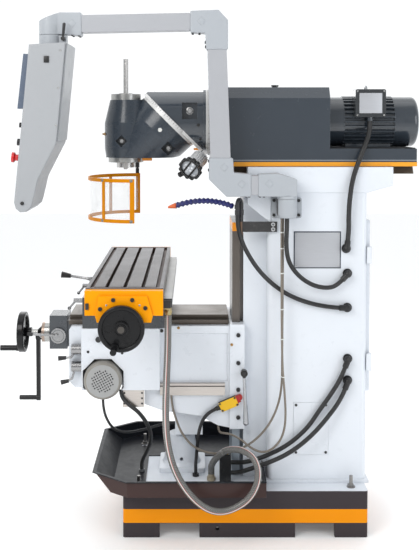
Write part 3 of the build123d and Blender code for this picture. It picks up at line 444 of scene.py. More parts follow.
# pendant and its arm
ARM_M = paint("arm_coat", ARM_C, rough=0.40, coat=0.08, wear=0.2, cavity_shade=0.3, peel=0.22, cavity_shade_dist=0.03)
dress(ARM_M, "arm_elbows")
dress(paint("tube_coat", lin(170, 172, 177), rough=0.40, coat=0.05, wear=0.2, cavity_shade=0.25, peel=0.25), "arm_tubes")
dress(paint("pendant_coat", PEND, rough=0.46, coat=0.04, wear=0.3, cavity_shade=0.3, peel=0.3, wave=0.06, regions=[
    (lambda g: g.box(z0=2.1965), dict(col=ARM_C, rough=0.4)),
    (lambda g: g.mul(g.math("GREATER_THAN", g.along((0, -0.9775, 1.762), FN)[0], 0.0009), g.box(z1=1.9)),
     dict(col=lin(38, 38, 40), rough=0.4))]), "pendant_box")
dress(plastic("display_grey", lin(86, 98, 117), rough=0.42, regions=[
    (lambda g: g.mul(g.box(x0=0.172, x1=0.408, z0=1.934, z1=2.126), g.math("LESS_THAN", g.normal()[1], -0.7)),
     dict(col=lin(14, 18, 24), rough=0.1))]), "pendant_display")
dress(plastic("button_red", lin(206, 24, 28), rough=0.28, coat=0.4, dust=0.04), "estop_button")
dress(plastic("button_black", lin(34, 34, 36), rough=0.36), "start_button", "stop_button")
dress(plastic("lever_black", lin(36, 36, 38), rough=0.38), "pendant_clamp_lever")

# ram, head
RAM_M = paint("ram_enamel", SLATE, rough=0.20, coat=0.6, var=0.08, wave=0.4, wear=0.3, wear_col=lin(140, 148, 155), cavity_shade=0.2, regions=[
    # painted highlight: a light strip along the edge where the slate ends above the orange band
    (lambda g: g.box(z0=1.676, z1=1.6815), dict(col=lin(128, 134, 140), rough=0.3)),
    (lambda g: g.box(z1=1.6712), dict(col=lin(238, 158, 0), rough=0.5)),
    (lambda g: g.box(z1=1.6516), dict(col=lin(120, 108, 96), rough=0.36, metal=0.8, grain=(700, 12, 700))),
    (lambda g: g.cyl((0, 0, 1.854), (0, 1, 0), -0.2, -0.1548, r1=0.16), dict(col=lin(200, 200, 199), rough=0.5)),
    (lambda g: g.box(z0=2.0125), dict(col=lin(50, 52, 54), rough=0.35))])
dress(RAM_M, "ram_casting")
dress(paint("motor_enamel", lin(48, 55, 63), rough=0.18, coat=0.7, var=0.08, wave=0.35, wear=0.35, wear_col=lin(140, 148, 155), cavity_shade=0.35, cavity_shade_dist=0.02,
            regions=[(lambda g: g.box(z0=1.964), dict(col=lin(150, 152, 155), rough=0.35, metal=0.9)),
                     (lambda g: g.box(x0=0.069, y0=0.507, y1=0.65, z0=1.8745), dict(col=lin(34, 38, 42), rough=0.3))]), "spindle_motor")
dress(paint("elbow_enamel", SLATE, rough=0.17, coat=0.8, var=0.08, wave=0.45, wear=0.3, wear_col=lin(140, 148, 155), cavity_shade=0.25, regions=[
    (lambda g: g.cyl(TC, TN, -0.001, 0.0255, r0=0.1485), dict(col=lin(214, 214, 213), rough=0.5)),
    (lambda g: g.cyl((0, 0, 1.854), (0, 1, 0), -0.174, -0.14, r0=0.1505), dict(col=lin(206, 206, 205), rough=0.5)),
    (lambda g: g.box(x0=0.06, z1=1.722), dict(col=lin(150, 150, 150), rough=0.3, metal=0.9))]), "elbow_casting")
dress(paint("head_enamel", SLATE, rough=0.27, coat=0.2, shine=0.4, var=0.08, wave=0.9, wear=0.3, wear_col=lin(140, 148, 155), cavity_shade=0.25, regions=[
    (lambda g: g.mul(g.box(z0=1.9562), g.cyl(SPIN, (0, 0, 1), 1.9, 2.1, r1=0.0715)), dict(col=lin(168, 168, 166), rough=0.3, metal=1.0, grain=(600, 600, 600))),
    (lambda g: g.mul(g.box(z1=1.6858), g.cyl(SPIN, (0, 0, 1), 1.5, 1.7, r1=0.0835)), dict(col=lin(172, 172, 170), rough=0.3, metal=1.0, grain=(600, 600, 600)))]),
      "head_casting")
TURNED = metal("turned_steel", STEEL, rough=0.24, grain=(900, 900, 120))
dress(TURNED, "spindle", "drive_shaft")
dress(paint("guard_arm_enamel", ORANGE, rough=0.34, coat=0.02, shine=0.12, wear=0.4, wear_col=lin(250, 200, 120), cavity_shade=0.3, regions=[
    (lambda g: g.box(z1=1.6638), dict(col=lin(70, 72, 74), rough=0.35, metal=0.8))]), "guard_arm")
dress(paint("guard_enamel", lin(212, 133, 0), rough=0.34, coat=0.02, shine=0.12, wear=0.4, wear_col=lin(250, 200, 120), cavity_shade=0.2, edge_r=0.0012, regions=[
    (lambda g: g.box(z0=1.5968), dict(col=lin(60, 60, 62), rough=0.4))]), "guard_frame")
dress(metal("lamp_alloy", lin(246, 247, 249), rough=0.42, grain=(300, 300, 300), regions=[
    (lambda g: g.cyl(LF, LD, 0.0975, 0.2), dict(col=lin(30, 31, 33), rough=0.42))], cavity_shade=0.05, metallic=0.25), "work_lamp")

# knee
dress(paint("knee_enamel", WHITE, rough=0.30, coat=0.3, wear=0.2, cavity_shade=0.25, regions=[
    (lambda g: g.box(x0=0.2053, y0=-0.03, z0=0.69, z1=0.74), dict(col=lin(160, 160, 160), rough=0.3, metal=1.0))]), "knee_casting")
dress(metal("way_iron", WAY, rough=0.33, grain=(700, 14, 700), stain=0.35), "knee_ways")
dress(paint("feed_motor_enamel", lin(162, 163, 163), rough=0.34, coat=0.2, shine=0.3, wear=0.25, cavity_shade=0.45, cavity_shade_dist=0.02, regions=[
    # darker beige-grey outer rim: partly its own beige tone, partly painted shade on the chamfer
    (lambda g: g.cyl((0, -0.640, 0.690), (1, 0, 0), 0.15, 0.30, r0=0.0735), dict(col=lin(141, 138, 132), rough=0.4)),
    # painted shade: near-black inside the fan cover's holes
    (lambda g: g.cyl((0, -0.640, 0.690), (1, 0, 0), 0.27, 0.2838, r1=0.058), dict(col=lin(14, 14, 15), rough=0.6))]), "feed_motor")
dress(paint("feed_box_enamel", lin(60, 65, 71), rough=0.24, coat=0.5, wear=0.35, wear_col=lin(140, 145, 150), cavity_shade=0.3), "feed_box")
dress(metal("scale_alloy", lin(205, 198, 192), rough=0.36, grain=(500, 10, 500), stain=0.1, stain_and_shade_col=lin(120, 112, 105), regions=[
    (lambda g: g.box(x0=0.209, z0=0.6455, z1=0.6505), dict(col=lin(60, 58, 56), rough=0.5)),
    (lambda g: g.mul(g.box(y0=-0.56, y1=-0.45), g.math("LESS_THAN", g.voronoi(1.0, g.scaled(1, 18, 0.001)), 0.02)), dict(col=lin(30, 30, 30), rough=0.5))]), "cross_scale")
LSY = Vector((0, math.cos(math.radians(23)), math.sin(math.radians(23))))
LSZ = Vector((0, -math.sin(math.radians(23)), math.cos(math.radians(23))))
LSO = (0.205, -0.0715, 0.5685)
dress(plastic("switch_yellow", lin(236, 186, 0), rough=0.42, regions=[
    (lambda g: g.mul(g.math("GREATER_THAN", g.math("ABSOLUTE", g.along(LSO, LSZ)[0]), 0.0185), g.box(x1=0.2255)), dict(col=lin(38, 38, 38), rough=0.45)),
    (lambda g: g.math("GREATER_THAN", g.along(LSO, LSY)[0], 0.0412), dict(col=lin(176, 20, 24), rough=0.3)),
    (lambda g: g.math("LESS_THAN", g.along(LSO, LSY)[0], -0.0415), dict(col=lin(32, 32, 33), rough=0.45))]), "limit_switch")


def screw_steel(name, axis, pitch, col=STEEL):
    g = Graph(name)
    v = g.xyz()[axis]
    thread = g.math("SINE", g.mul(v, 2 * math.pi / pitch))
    wear = g.noise(30.0, 4.0)
    # painted shade: dark bands at the thread roots
    c = g.mix(g.step(thread, -0.6, 0.8), shade(col, 0.35), g.mix(wear, shade(col, 0.85), shade(col, 1.1)))
    n = g.bump(thread, 0.9, 0.0012)
    return g.finish(c, g.remap(wear, 0.3, 0.7, 0.22, 0.4), 1.0, n)


dress(screw_steel("knee_screw", 2, 0.006), "elevating_screw")


def lever(name, knob, hub=None):
    regions = [(knob, dict(col=lin(34, 34, 35), rough=0.4, metal=0.0))]
    if hub:
        regions.append((hub, dict(col=lin(120, 122, 124), rough=0.4, metal=0.9)))
    return metal(name, (0.34, 0.34, 0.345), rough=0.24, grain=(200, 200, 200), var=0.06, stain=0.1, regions=regions, bumpy=0.04)


dress(lever("feed_lever_chrome", lambda g: g.box(y1=-0.810)), "feed_lever_upper")
dress(lever("feed_lever_low_chrome", lambda g: g.box(y1=-0.7985)), "feed_lever_lower")
dress(lever("dial_chrome", lambda g: g.box(y1=-0.984), lambda g: g.cyl((0, -0.8675, 0.8486), (1, 0, 0), 0.0815, 0.0822, r0=0.026, r1=0.029)), "feed_direction_lever")
dress(metal("clamp_chrome", (0.43, 0.44, 0.46), rough=0.24, grain=(300, 300, 60), var=0.06, stain=0.12, bumpy=0.05, regions=[
    (lambda g: g.box(z0=0.694), dict(col=lin(30, 30, 31), rough=0.4))]), "knee_clamp_lever")
dress(lever("ball_chrome", lambda g: g.box(y1=-0.7985, z1=1.012)), "saddle_clamp_lever", "table_clamp_lever")
dress(lever("feed_handle_chrome", lambda g: g.box(y1=-0.8465)), "table_feed_lever")

ENAMEL_K = dict(rough=0.22, coat=0.22, shine=0.2, var=0.1, wave=0.35, wear=0.4, wear_col=lin(84, 84, 86), cavity_shade=0.15)
dress(paint("table_wheel_enamel", lin(20, 20, 22), regions=[
    (lambda g: g.cyl((0, -0.523, 1.022), (1, 0, 0), 0.7245, 0.74, r1=0.0145), dict(col=lin(92, 88, 84), rough=0.3, metal=0.8, grain=(600, 600, 600))),
    (lambda g: g.box(x1=0.6785), dict(col=lin(140, 138, 134), rough=0.3, metal=1.0, grain=(900, 60, 60)))], **ENAMEL_K), "table_handwheel")
dress(paint("cross_wheel_enamel", lin(20, 20, 22), regions=[
    (lambda g: g.box(y0=-1.0035), dict(col=lin(178, 178, 176), rough=0.22, metal=1.0, grain=(60, 700, 60))),
    (lambda g: g.box(y0=-0.9515, y1=-0.938), dict(col=lin(168, 150, 138), rough=0.3, metal=1.0, grain=(60, 700, 60)))], **ENAMEL_K), "cross_handwheel")
dress(paint("crank_enamel", lin(34, 34, 35), rough=0.36, coat=0.1, shine=0.3, wear=0.45, wear_col=lin(120, 120, 122), cavity_shade=0.2, regions=[
    (lambda g: g.box(y0=-0.9725), dict(col=lin(130, 128, 126), rough=0.3, metal=1.0))]), "elevating_crank")

# saddle and table
dress(paint("saddle_enamel", lin(56, 60, 65), rough=0.26, coat=0.4, wear=0.3, wear_col=lin(130, 135, 140), cavity_shade=0.3, regions=[
    (lambda g: g.box(z0=1.0615), dict(col=lin(120, 118, 114), rough=0.35, metal=0.9)),
    (lambda g: g.cyl((-0.228, -0.745, 0), (0, 0, 1), 1.0, 1.08, r1=0.0065), dict(col=lin(150, 150, 150), rough=0.3, metal=1.0))]), "saddle")
T_Y = -0.516


def slot_mask(g):
    x, y, z = g.xyz()
    rows = [g.box(x0=-0.6065, x1=0.6065, y0=T_Y + d - w, y1=T_Y + d + w) for d, w in ((-0.136, 0.0082), (-0.075, 0.013), (0, 0.013), (0.075, 0.013), (0.136, 0.0082))]
    ends = [g.box(x0=a, x1=b, y0=T_Y - 0.1445, y1=T_Y + 0.1445) for a, b in ((-0.6085, -0.5915), (0.5915, 0.6085))]
    return g.mul(g.either(*rows, *ends), g.box(z0=1.13, z1=1.1714))


dress(metal("table_iron", lin(116, 115, 117), rough=0.5, grain=(16, 900, 900), stain=0.14, stain_and_shade_col=lin(96, 88, 82), metallic=0.5, regions=[
    (lambda g: g.box(z1=1.165), dict(col=lin(120, 117, 113), rough=0.4, metal=0.8)),
    (slot_mask, dict(col=lin(74, 50, 42), rough=0.6, metal=0.0))], cavity_shade=0.5), "table")
dress(paint("bracket_enamel", lin(250, 160, 0), rough=0.34, coat=0.02, shine=0.12, wear=0.25, wear_col=lin(255, 205, 110), cavity_shade=0.3, cavity_shade_dist=0.03, regions=[
    (lambda g: g.cyl((0, -0.523, 1.022), (1, 0, 0), 0.6745, 0.69, r1=0.041), dict(col=lin(60, 60, 62), rough=0.35))]), "table_end_brackets")
dress(metal("scale_grey", lin(158, 158, 157), rough=0.42, grain=(10, 500, 500), stain=0.12, metallic=0.7, regions=[
    (lambda g: g.box(x0=0.5875, z0=1.08), dict(col=lin(48, 49, 51), rough=0.45)),
    (lambda g: g.box(z1=1.0845), dict(col=lin(176, 160, 120), rough=0.3, metal=1.0))]), "table_scale")

# clear shield
gs = Graph("shield_clear")
scr = gs.noise(1.0, 3.0, 0.6, vec=gs.scaled(90, 90, 700))
hz = gs.noise(12.0, 4.0, 0.6)
gs.finish(gs.mix(hz, (0.86, 0.89, 0.91), (0.95, 0.96, 0.97)), gs.remap(scr, 0.3, 0.7, 0.04, 0.16), 0.0,
          Alpha=gs.math("ADD", gs.mul(gs.step(scr, 0.62, 0.8), 0.10), gs.remap(hz, 0.3, 0.7, 0.07, 0.16)))
dress(gs.m, "guard_shield")


# ------------------------------------------------------------------ cords
def rubber(name, col, pitch=0.0, rough=0.42, stripe=None, spec=0.5):
    """Black hose or conduit; length runs along V in metres, so ribs and stripes follow the cord."""
    g = Graph(name)
    s = g.node("ShaderNodeSeparateXYZ")
    g.put(s.inputs[0], g.uv())
    u, v = s.outputs[0], s.outputs[1]
    dust = g.step(g.noise(46.0, 5.0, 0.65), 0.48, 0.78)
    c = g.mix(g.noise(16.0), shade(col, 0.85), shade(col, 1.18))
    r = g.remap(dust, 0.0, 1.0, rough - 0.06, rough + 0.18)
    height = g.noise(500.0, 2.0)
    if pitch:
        rib = g.math("SINE", g.mul(v, 2 * math.pi / pitch))
        # painted highlight: the crests of the ribs made lighter
        c = g.mix(g.mul(g.step(rib, 0.1, 0.95), 0.35), c, shade(col, 2.0))
        height = g.math("ADD", g.mul(height, 0.15), rib)
    if stripe:
        c = g.mix(g.span(u, *stripe["u"]), c, stripe["col"])
    c = g.mix(g.mul(dust, 0.08), c, (0.30, 0.29, 0.28))
    return g.finish(c, r, 0.0, g.bump(height, 0.35, 0.0008), spec=spec)


def armour(name, col, pitch):
    g = Graph(name)
    s = g.node("ShaderNodeSeparateXYZ")
    g.put(s.inputs[0], g.uv())
    lay = g.math("SINE", g.mul(g.math("ADD", s.outputs[1], g.mul(s.outputs[0], pitch)), 2 * math.pi / pitch))
    tone = g.noise(60.0, 4.0)
    # painted shade: dark grooves between the armour's windings
    c = g.mix(g.step(lay, -0.7, 0.4), shade(col, 0.38), g.mix(tone, shade(col, 0.88), shade(col, 1.12)))
    return g.finish(c, g.remap(tone, 0.3, 0.7, 0.3, 0.5), 0.55, g.bump(lay, 0.8, 0.0008))


def clear_hose(name):
    """Clear reinforced hose: helical braid under a pale skin, one red tracer line."""
    g = Graph(name)
    s = g.node("ShaderNodeSeparateXYZ")
    g.put(s.inputs[0], g.uv())
    u, v = s.outputs[0], s.outputs[1]
    a = g.math("SINE", g.mul(g.math("ADD", g.mul(u, 7.0), g.mul(v, 118.0)), 2 * math.pi))
    b = g.math("SINE", g.mul(g.math("SUBTRACT", g.mul(u, 7.0), g.mul(v, 118.0)), 2 * math.pi))
    braid = g.step(g.either(a, b), 0.72, 0.97)
    ring = g.step(g.math("SINE", g.mul(v, 2 * math.pi / 0.0085)), 0.0, 0.9)
    film = g.noise(9.0, 4.0, 0.6)
    c = g.mix(film, lin(74, 74, 72), lin(92, 92, 90))
    c = g.mix(g.mul(ring, 0.6), c, lin(54, 52, 50))
    c = g.mix(g.mul(braid, 0.45), c, lin(172, 169, 165))
    # painted highlight: a pale stripe along one side of the hose
    c = g.mix(g.span(u, 0.02, 0.06), c, lin(216, 214, 210))
    c = g.mix(g.either(g.span(u, 0.992, 1.0), g.span(u, 0.0, 0.02)), c, lin(176, 100, 94))
    n = g.bump(g.math("ADD", braid, g.mul(ring, 0.7)), 0.3, 0.0006)
    return g.finish(c, g.remap(film, 0.3, 0.7, 0.18, 0.30), 0.0, n, coat=0.25, coat_rough=0.12)


RUBBER = rubber("conduit_rubber", lin(30, 30, 31), pitch=0.0055)
HOSE_BLACK = rubber("hose_rubber", lin(32, 32, 34), rough=0.36)
THIN_BLACK = rubber("cable_rubber", lin(30, 30, 32), rough=0.45)
ARMOUR = armour("scale_armour", lin(168, 158, 146), 0.0042)
CLEAR = clear_hose("drain_clear")


def spline_points(name, pts):
    """Points of the smooth line whose control points are the route's, in metres."""
    cu = bpy.data.curves.new(name + "_line", "CURVE")
    cu.dimensions = "3D"
    cu.resolution_u = 20
    sp = cu.splines.new("NURBS")
    sp.points.add(len(pts) - 1)
    for p, q in zip(sp.points, pts):
        p.co = (*q, 1.0)
    sp.order_u = 3
    sp.use_endpoint_u = True
    ob = bpy.data.objects.new(name + "_line", cu)
    SCN.collection.objects.link(ob)
    bpy.context.view_layer.update()
    me = bpy.data.meshes.new_from_object(ob.evaluated_get(bpy.context.evaluated_depsgraph_get()))
    out = [v.co.copy() for v in me.vertices]
    bpy.data.objects.remove(ob)
    bpy.data.curves.remove(cu)
    bpy.data.meshes.remove(me)
    return out


def lengths(line):
    s = [0.0]
    for a, b in zip(line, line[1:]):
        s.append(s[-1] + (b - a).length)
    return s


def at(line, s, d):
    """Point at distance d along a line."""
    d = min(max(d, 0.0), s[-1])
    lo = 0
    hi = len(s) - 1
    while hi - lo > 1:
        k = (lo + hi) // 2
        if s[k] <= d:
            lo = k
        else:
            hi = k
    span = s[hi] - s[lo]
    return line[lo].lerp(line[hi], (d - s[lo]) / span if span > 1e-9 else 0.0)


SIDES = {}                                          # where U starts at the end of each tube


def tube(name, line, r, material, rib=0.0, pitch=0.0055, sides=14, step=0.006, v0=0.0, side0=None):
    """Mesh tube along a line, ribbed if asked, with U round it and V along it in metres."""
    s = lengths(line)
    ds = pitch / 4 if rib else step
    count = max(4, int(round(s[-1] / ds)))
    bm = bmesh.new()
    uvl = bm.loops.layers.uv.new("UVMap")
    rings = []
    t0 = (at(line, s, 0.002) - line[0]).normalized()
    side = t0.cross(Vector((0, 0, 1)))
    if side.length < 0.2:
        side = t0.cross(Vector((0, 1, 0)))
    side.normalize()
    if side0 is not None:
        side = side0.copy()
    for i in range(count + 1):
        d = s[-1] * i / count
        p = at(line, s, d)
        t = (at(line, s, d + 0.0015) - at(line, s, d - 0.0015)).normalized()
        side = (side - t * side.dot(t)).normalized()
        up = t.cross(side)
        rr = r + (rib * math.cos(2 * math.pi * d / pitch) if rib else 0.0)
        rings.append(([bm.verts.new(p + (side * math.cos(a) + up * math.sin(a)) * rr)
                       for a in [2 * math.pi * k / sides for k in range(sides)]], d))
    for (ra, da), (rb, db) in zip(rings, rings[1:]):
        for k in range(sides):
            q = (k + 1) % sides
            f = bm.faces.new((ra[k], ra[q], rb[q], rb[k]))
            f.smooth = True
            u0, u1 = k / sides, (k + 1) / sides
            for lp, (uu, vv) in zip(f.loops, ((u0, da), (u1, da), (u1, db), (u0, db))):
                lp[uvl].uv = (uu, vv + v0)
    for ring, flip in ((rings[0][0], True), (rings[-1][0], False)):
        f = bm.faces.new(list(reversed(ring)) if flip else ring)
        f.smooth = False
    me = bpy.data.meshes.new(name)
    bm.normal_update()
    bm.to_mesh(me)
    bm.free()
    SIDES[name] = side.copy()
    ob = bpy.data.objects.new(name, me)
    SCN.collection.objects.link(ob)
    me.materials.append(material)
    return ob, s[-1]


def off(p, d, k):
    return (p[0], p[1] + d[0] * k, p[2] + d[1] * k)


def mm(pts):
    return [tuple(c / 1000.0 for c in p) for p in pts]


LS_DIR = (-math.cos(math.radians(23)), -math.sin(math.radians(23)))
LS_END = (216, -71.5 + 62 * LS_DIR[0], 568.5 + 62 * LS_DIR[1])
E1, D1 = (243, 463.8, 1318.81), (0.10, 0.995)
E2, D2 = (243, 439.78, 1140.488), (-0.69, -0.724)
E3, D3 = (243, 428.076, 1014.394), (-0.998, 0.063)
E4, D4 = (243, 455.472, 742.508), (-0.356, -0.934)
E5, D5 = (243, 455.472, 643.508), (-0.356, -0.934)
ROUTES = {
    "motor_conduit": (11.0, [(146, 578, 1858), (146, 578, 1828), (160, 570, 1790), (200, 546, 1744), (232, 514, 1680),
                             (247, 484, 1600), (252, 470, 1510), (250, 466, 1430), off(E1, D1, 50), E1]),
    "pendant_conduit": (10.0, [(290, 185, 1428), (290, 185, 1378), (288, 181, 1305), (285, 192, 1226), (279, 240, 1162),
                               (270, 300, 1122), (258, 362, 1106), off(E2, D2, 40), E2]),
    "coolant_feed_hose": (10.0, [(254, -34, 1436), (254, -34, 1394), (253, -20, 1330), (251, 10, 1264), (248, 60, 1186), (245, 130, 1116),
                                 (243, 210, 1064), (242, 305, 1031), off(E3, D3, 40), E3]),
    "knee_conduit_upper": (10.0, [E4, off(E4, D4, 60), (243, 382, 605), (245, 338, 545), (250, 288, 470), (254, 200, 392), (256, 100, 342),
                                  (250, 26, 316), (230, -8, 302), (210, -30, 295), (206, -46, 294), (206, -60, 294)]),
    "knee_conduit_lower": (10.0, [E5, off(E5, D5, 50), (262, 372, 516), (278, 300, 440), (284, 205, 366), (280, 110, 320),
                                  (262, 30, 286), (240, -6, 265), (221, -28, 253), (216, -45, 250), (216, -60, 250)]),
    "scale_cable_cross": (5.0, [(264, 170, 1428), (264, 170, 1330), (262.5, 168, 800), (260, 168, 660), (257, 148, 560), (252, 104, 470),
                                (246, 30, 392), (240, -60, 352), (234, -150, 342), (226, -230, 368), (219, -284, 428),
                                (212, -312, 496), (206, -331, 562), (205, -333, 604)]),
    "scale_cable_table": (5.0, [(275, 162, 1428), (275, 162, 1330), (277, 165, 780), (280, 178, 640), (284, 184, 520), (286, 170, 440),
                                (282, 130, 384), (276, 80, 362), (268, 30, 380), (254, -18, 418), (236, -60, 434), (214, -92, 432), (196, -108, 428),
                                (186, -116, 436), (183, -118, 457)]),
    "drain_hose": (15.0, [(572, -338, 1052), (572, -338, 930), (562, -345, 776), (544, -350, 640), (526, -346, 508), (508, -322, 392),
                          (492, -280, 300), (478, -224, 226), (468, -166, 182), (464, -112, 170), (464, -54, 186),
                          (462, 8, 226), (458, 44, 288), (444, 52, 348), (412, 30, 396), (362, -24, 410), (308, -82, 388),
                          (270, -114, 352), (236, -138, 314), (211, -149, 282), (200, -150, 262), (200, -150, 240)]),
    "limit_switch_cable": (8.0, [LS_END, off(LS_END, LS_DIR, 26), (214, -186, 502), (208, -206, 446), (199, -213, 382),
                                 (184, -218, 316), (162, -222, 264), (152, -221, 240), (152, -221, 222)]),
    "feed_motor_cable": (6.0, [(262, -640, 603.6), (262, -640, 572), (254, -627, 512), (228, -596, 454), (190, -540, 424),
                               (120, -460, 418), (72, -376, 428), (60, -346, 430), (60, -317, 430)]),
    "feed_conduit": (9.0, [(244, -560, 640), (244, -560, 612), (256, -530, 580), (254, -476, 540), (218, -436, 466), (164, -424, 390),
                           (118, -448, 316), (102, -472, 266), (100, -474, 245), (100, -474, 224)]),
}
LINES = {k: spline_points(k, mm(p)) for k, (r, p) in ROUTES.items()}


def cord(name, node, material, body=None, flex=None, rib=0.0, pitch=0.0055, sides=14, line=None, v0=0.0, side0=None):
    """One cord, or one stretch of it: it rides on a body, or, when flex is given, stays where it was drawn on no body.
    """
    r = ROUTES[node if node in ROUTES else name][0] / 1000.0
    pts = line or LINES[name]
    ob, ln = tube(name, pts, r, material, rib, pitch, sides, v0=v0, side0=side0)
    if flex:
        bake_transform(ob)
    else:
        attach(ob, body)
    return ob


c = cord("motor_conduit_tube", "motor_conduit", RUBBER, rib=0.0004,
         line=LINES["motor_conduit"], flex=("ram", "column", (0.146, 0.578, 1.82), (0.245, 0.466, 1.37)))
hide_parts("motor_conduit")
c = cord("pendant_conduit_tube", "pendant_conduit", RUBBER, body="column", rib=0.0004, line=LINES["pendant_conduit"])
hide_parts("pendant_conduit")
c = cord("coolant_feed_tube", "coolant_feed_hose", HOSE_BLACK, body="column", line=LINES["coolant_feed_hose"])
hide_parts("coolant_feed_hose")
ca = cord("knee_conduit_upper_tube", "knee_conduit_upper", RUBBER, body="column", rib=0.0004, line=LINES["knee_conduit_upper"])
cb = cord("knee_conduit_lower_tube", "knee_conduit_lower", RUBBER, body="column", rib=0.0004, line=LINES["knee_conduit_lower"])
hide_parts("knee_conduits")
ca = cord("scale_cable_cross_tube", "scale_cable_cross", ARMOUR, rib=0.0002, pitch=0.0042, sides=10,
          line=LINES["scale_cable_cross"], flex=("knee", "column", (0.205, -0.33, 0.6), (0.257, 0.15, 0.6)))
cb = cord("scale_cable_table_tube", "scale_cable_table", ARMOUR, rib=0.0002, pitch=0.0042, sides=10,
          line=LINES["scale_cable_table"], flex=("knee", "column", (0.183, -0.118, 0.45), (0.284, 0.17, 0.45)))
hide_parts("scale_cables")
c = cord("limit_switch_cable_tube", "limit_switch_cable", THIN_BLACK, sides=10,
         line=LINES["limit_switch_cable"], flex=("knee", "column", (0.216, -0.13, 0.545), (0.152, -0.221, 0.235)))
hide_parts("limit_switch_cable")
c = cord("feed_motor_cable_tube", "feed_motor_cable", THIN_BLACK, body="knee", sides=12, line=LINES["feed_motor_cable"])
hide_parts("feed_motor_cable")
c = cord("feed_conduit_tube", "feed_conduit", RUBBER, rib=0.0004,
         line=LINES["feed_conduit"], flex=("knee", "column", (0.244, -0.56, 0.62), (0.1, -0.474, 0.24)))
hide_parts("feed_conduit")
full = LINES["drain_hose"]
cut1 = next(i for i, p in enumerate(full) if p.z < 0.70)
cut2 = next(i for i, p in enumerate(full) if p.z < 0.40)
part = [full[:cut1 + 1], full[cut1:cut2 + 1], full[cut2:]]
run = lengths(full)
ca = cord("drain_hose_top", "drain_hose", CLEAR, line=part[0], sides=18,
          flex=("table", "saddle", (0.572, -0.338, 1.03), (0.552, -0.348, 0.70)))
cb = cord("drain_hose_middle", "drain_hose", CLEAR, line=part[1], sides=18, v0=run[cut1], side0=SIDES["drain_hose_top"],
          flex=("saddle", "knee", (0.552, -0.348, 0.70), (0.51, -0.325, 0.40)))
cc = cord("drain_hose_loop", "drain_hose", CLEAR, line=part[2], sides=18, v0=run[cut2], side0=SIDES["drain_hose_middle"],
          flex=("knee", "column", (0.51, -0.325, 0.40), (0.478, -0.224, 0.226)))
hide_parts("drain_hose")


# ------------------------------------------------------------------ small fittings
def touch(node, origin, direction=(-1, 0, 0)):
    """Where a line from a point meets the surface of a part: the point and the outward normal."""
    ok, p, n, _ = NODE[node].ray_cast(Vector(origin), Vector(direction).normalized())
    if not ok:
        return None
    return p.copy(), n.normalized()


class Kit:
    """Small fittings of one finish on one body, gathered into one mesh."""

    def __init__(self, name, body, material, slot):
        self.name, self.body, self.material, self.slot = name, body, material, slot
        self.bm = bmesh.new()

    @staticmethod
    def axes(n, up=(0, 0, 1)):
        n = Vector(n).normalized()
        up = Vector(up)
        if abs(n.dot(up)) > 0.95:
            up = Vector((0, 1, 0))
        side = up.cross(n).normalized()
        return side, n.cross(side).normalized(), n

    def lathe(self, o, n, profile, sides=20, up=(0, 0, 1)):
        """Turned piece: (height, radius) pairs along n from o; six sides make a hexagon."""
        a, b, n = self.axes(n, up)
        o = Vector(o)
        rings = []
        for h, r in profile:
            if r <= 1e-6:
                rings.append([self.bm.verts.new(o + n * h)])
            else:
                rings.append([self.bm.verts.new(o + n * h + (a * math.cos(t) + b * math.sin(t)) * r)
                              for t in [2 * math.pi * k / sides for k in range(sides)]])
        for p, q in zip(rings, rings[1:]):
            for k in range(sides):
                m = (k + 1) % sides
                loop = [p[k % len(p)], p[m % len(p)], q[m % len(q)], q[k % len(q)]]
                uniq = []
                for v in loop:
                    if v not in uniq:
                        uniq.append(v)
                if len(uniq) > 2:
                    self.bm.faces.new(uniq)
        for ring, flip in ((rings[0], True), (rings[-1], False)):
            if len(ring) > 2:
                self.bm.faces.new(list(reversed(ring)) if flip else ring)

    def block(self, o, n, w, h, t, up=(0, 0, 1), sink=0.0006, bevel=0.0008, turn=0.0):
        """Block standing on a surface at o: w across, h along up, t out along n."""
        a, b, n = self.axes(n, up)
        if turn:
            a, b = a * math.cos(turn) + b * math.sin(turn), b * math.cos(turn) - a * math.sin(turn)
        tmp = bmesh.new()
        bmesh.ops.create_cube(tmp, size=1.0)
        m = Matrix(((a.x * w, b.x * h, n.x * (t + sink), 0), (a.y * w, b.y * h, n.y * (t + sink), 0),
                    (a.z * w, b.z * h, n.z * (t + sink), 0), (0, 0, 0, 1)))
        m.translation = Vector(o) + n * ((t - sink) / 2)
        bmesh.ops.transform(tmp, matrix=m, verts=tmp.verts)
        if bevel:
            bmesh.ops.bevel(tmp, geom=list(tmp.edges), offset=bevel, segments=2, profile=0.6, affect="EDGES")
        me = bpy.data.meshes.new("tmp")
        tmp.to_mesh(me)
        tmp.free()
        self.bm.from_mesh(me)
        bpy.data.meshes.remove(me)

    def rivet(self, o, n, r, k=0.6):
        self.lathe(o, n, [(-0.0006, r), (0.15 * r * k, r), (0.55 * r * k, r * 0.86), (0.85 * r * k, r * 0.55), (r * k, 0.0)], 16)

    def socket(self, o, n, r, h):
        self.lathe(o, n, [(-0.0006, r), (h - 0.0007, r), (h, r - 0.0007), (h, r * 0.58), (h * 0.45, r * 0.52), (h * 0.45, 0.0)], 20)

    def hexagon(self, o, n, r, h, washer=True, up=(0, 0, 1)):
        base = 0.0
        if washer:
            base = 0.0016
            self.lathe(o, n, [(-0.0006, r * 1.32), (base - 0.0003, r * 1.32), (base, r * 1.27), (base, 0.0)], 24, up)
        self.lathe(o, n, [(base - 0.0003, r), (base + h - r * 0.12, r), (base + h, r * 0.86), (base + h, 0.0)], 6, up)

    def done(self):
        bm = self.bm
        if not bm.faces:
            bm.free()
            return None
        bmesh.ops.recalc_face_normals(bm, faces=bm.faces)
        for f in bm.faces:
            f.smooth = True
        for e in bm.edges:
            if len(e.link_faces) == 2 and e.calc_face_angle(0.0) > math.radians(35):
                e.smooth = False
        me = bpy.data.meshes.new(self.name)
        bm.to_mesh(me)
        bm.free()
        me.materials.append(self.material)
        ob = bpy.data.objects.new(self.name, me)
        SCN.collection.objects.link(ob)
        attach(ob, self.body)
        return ob


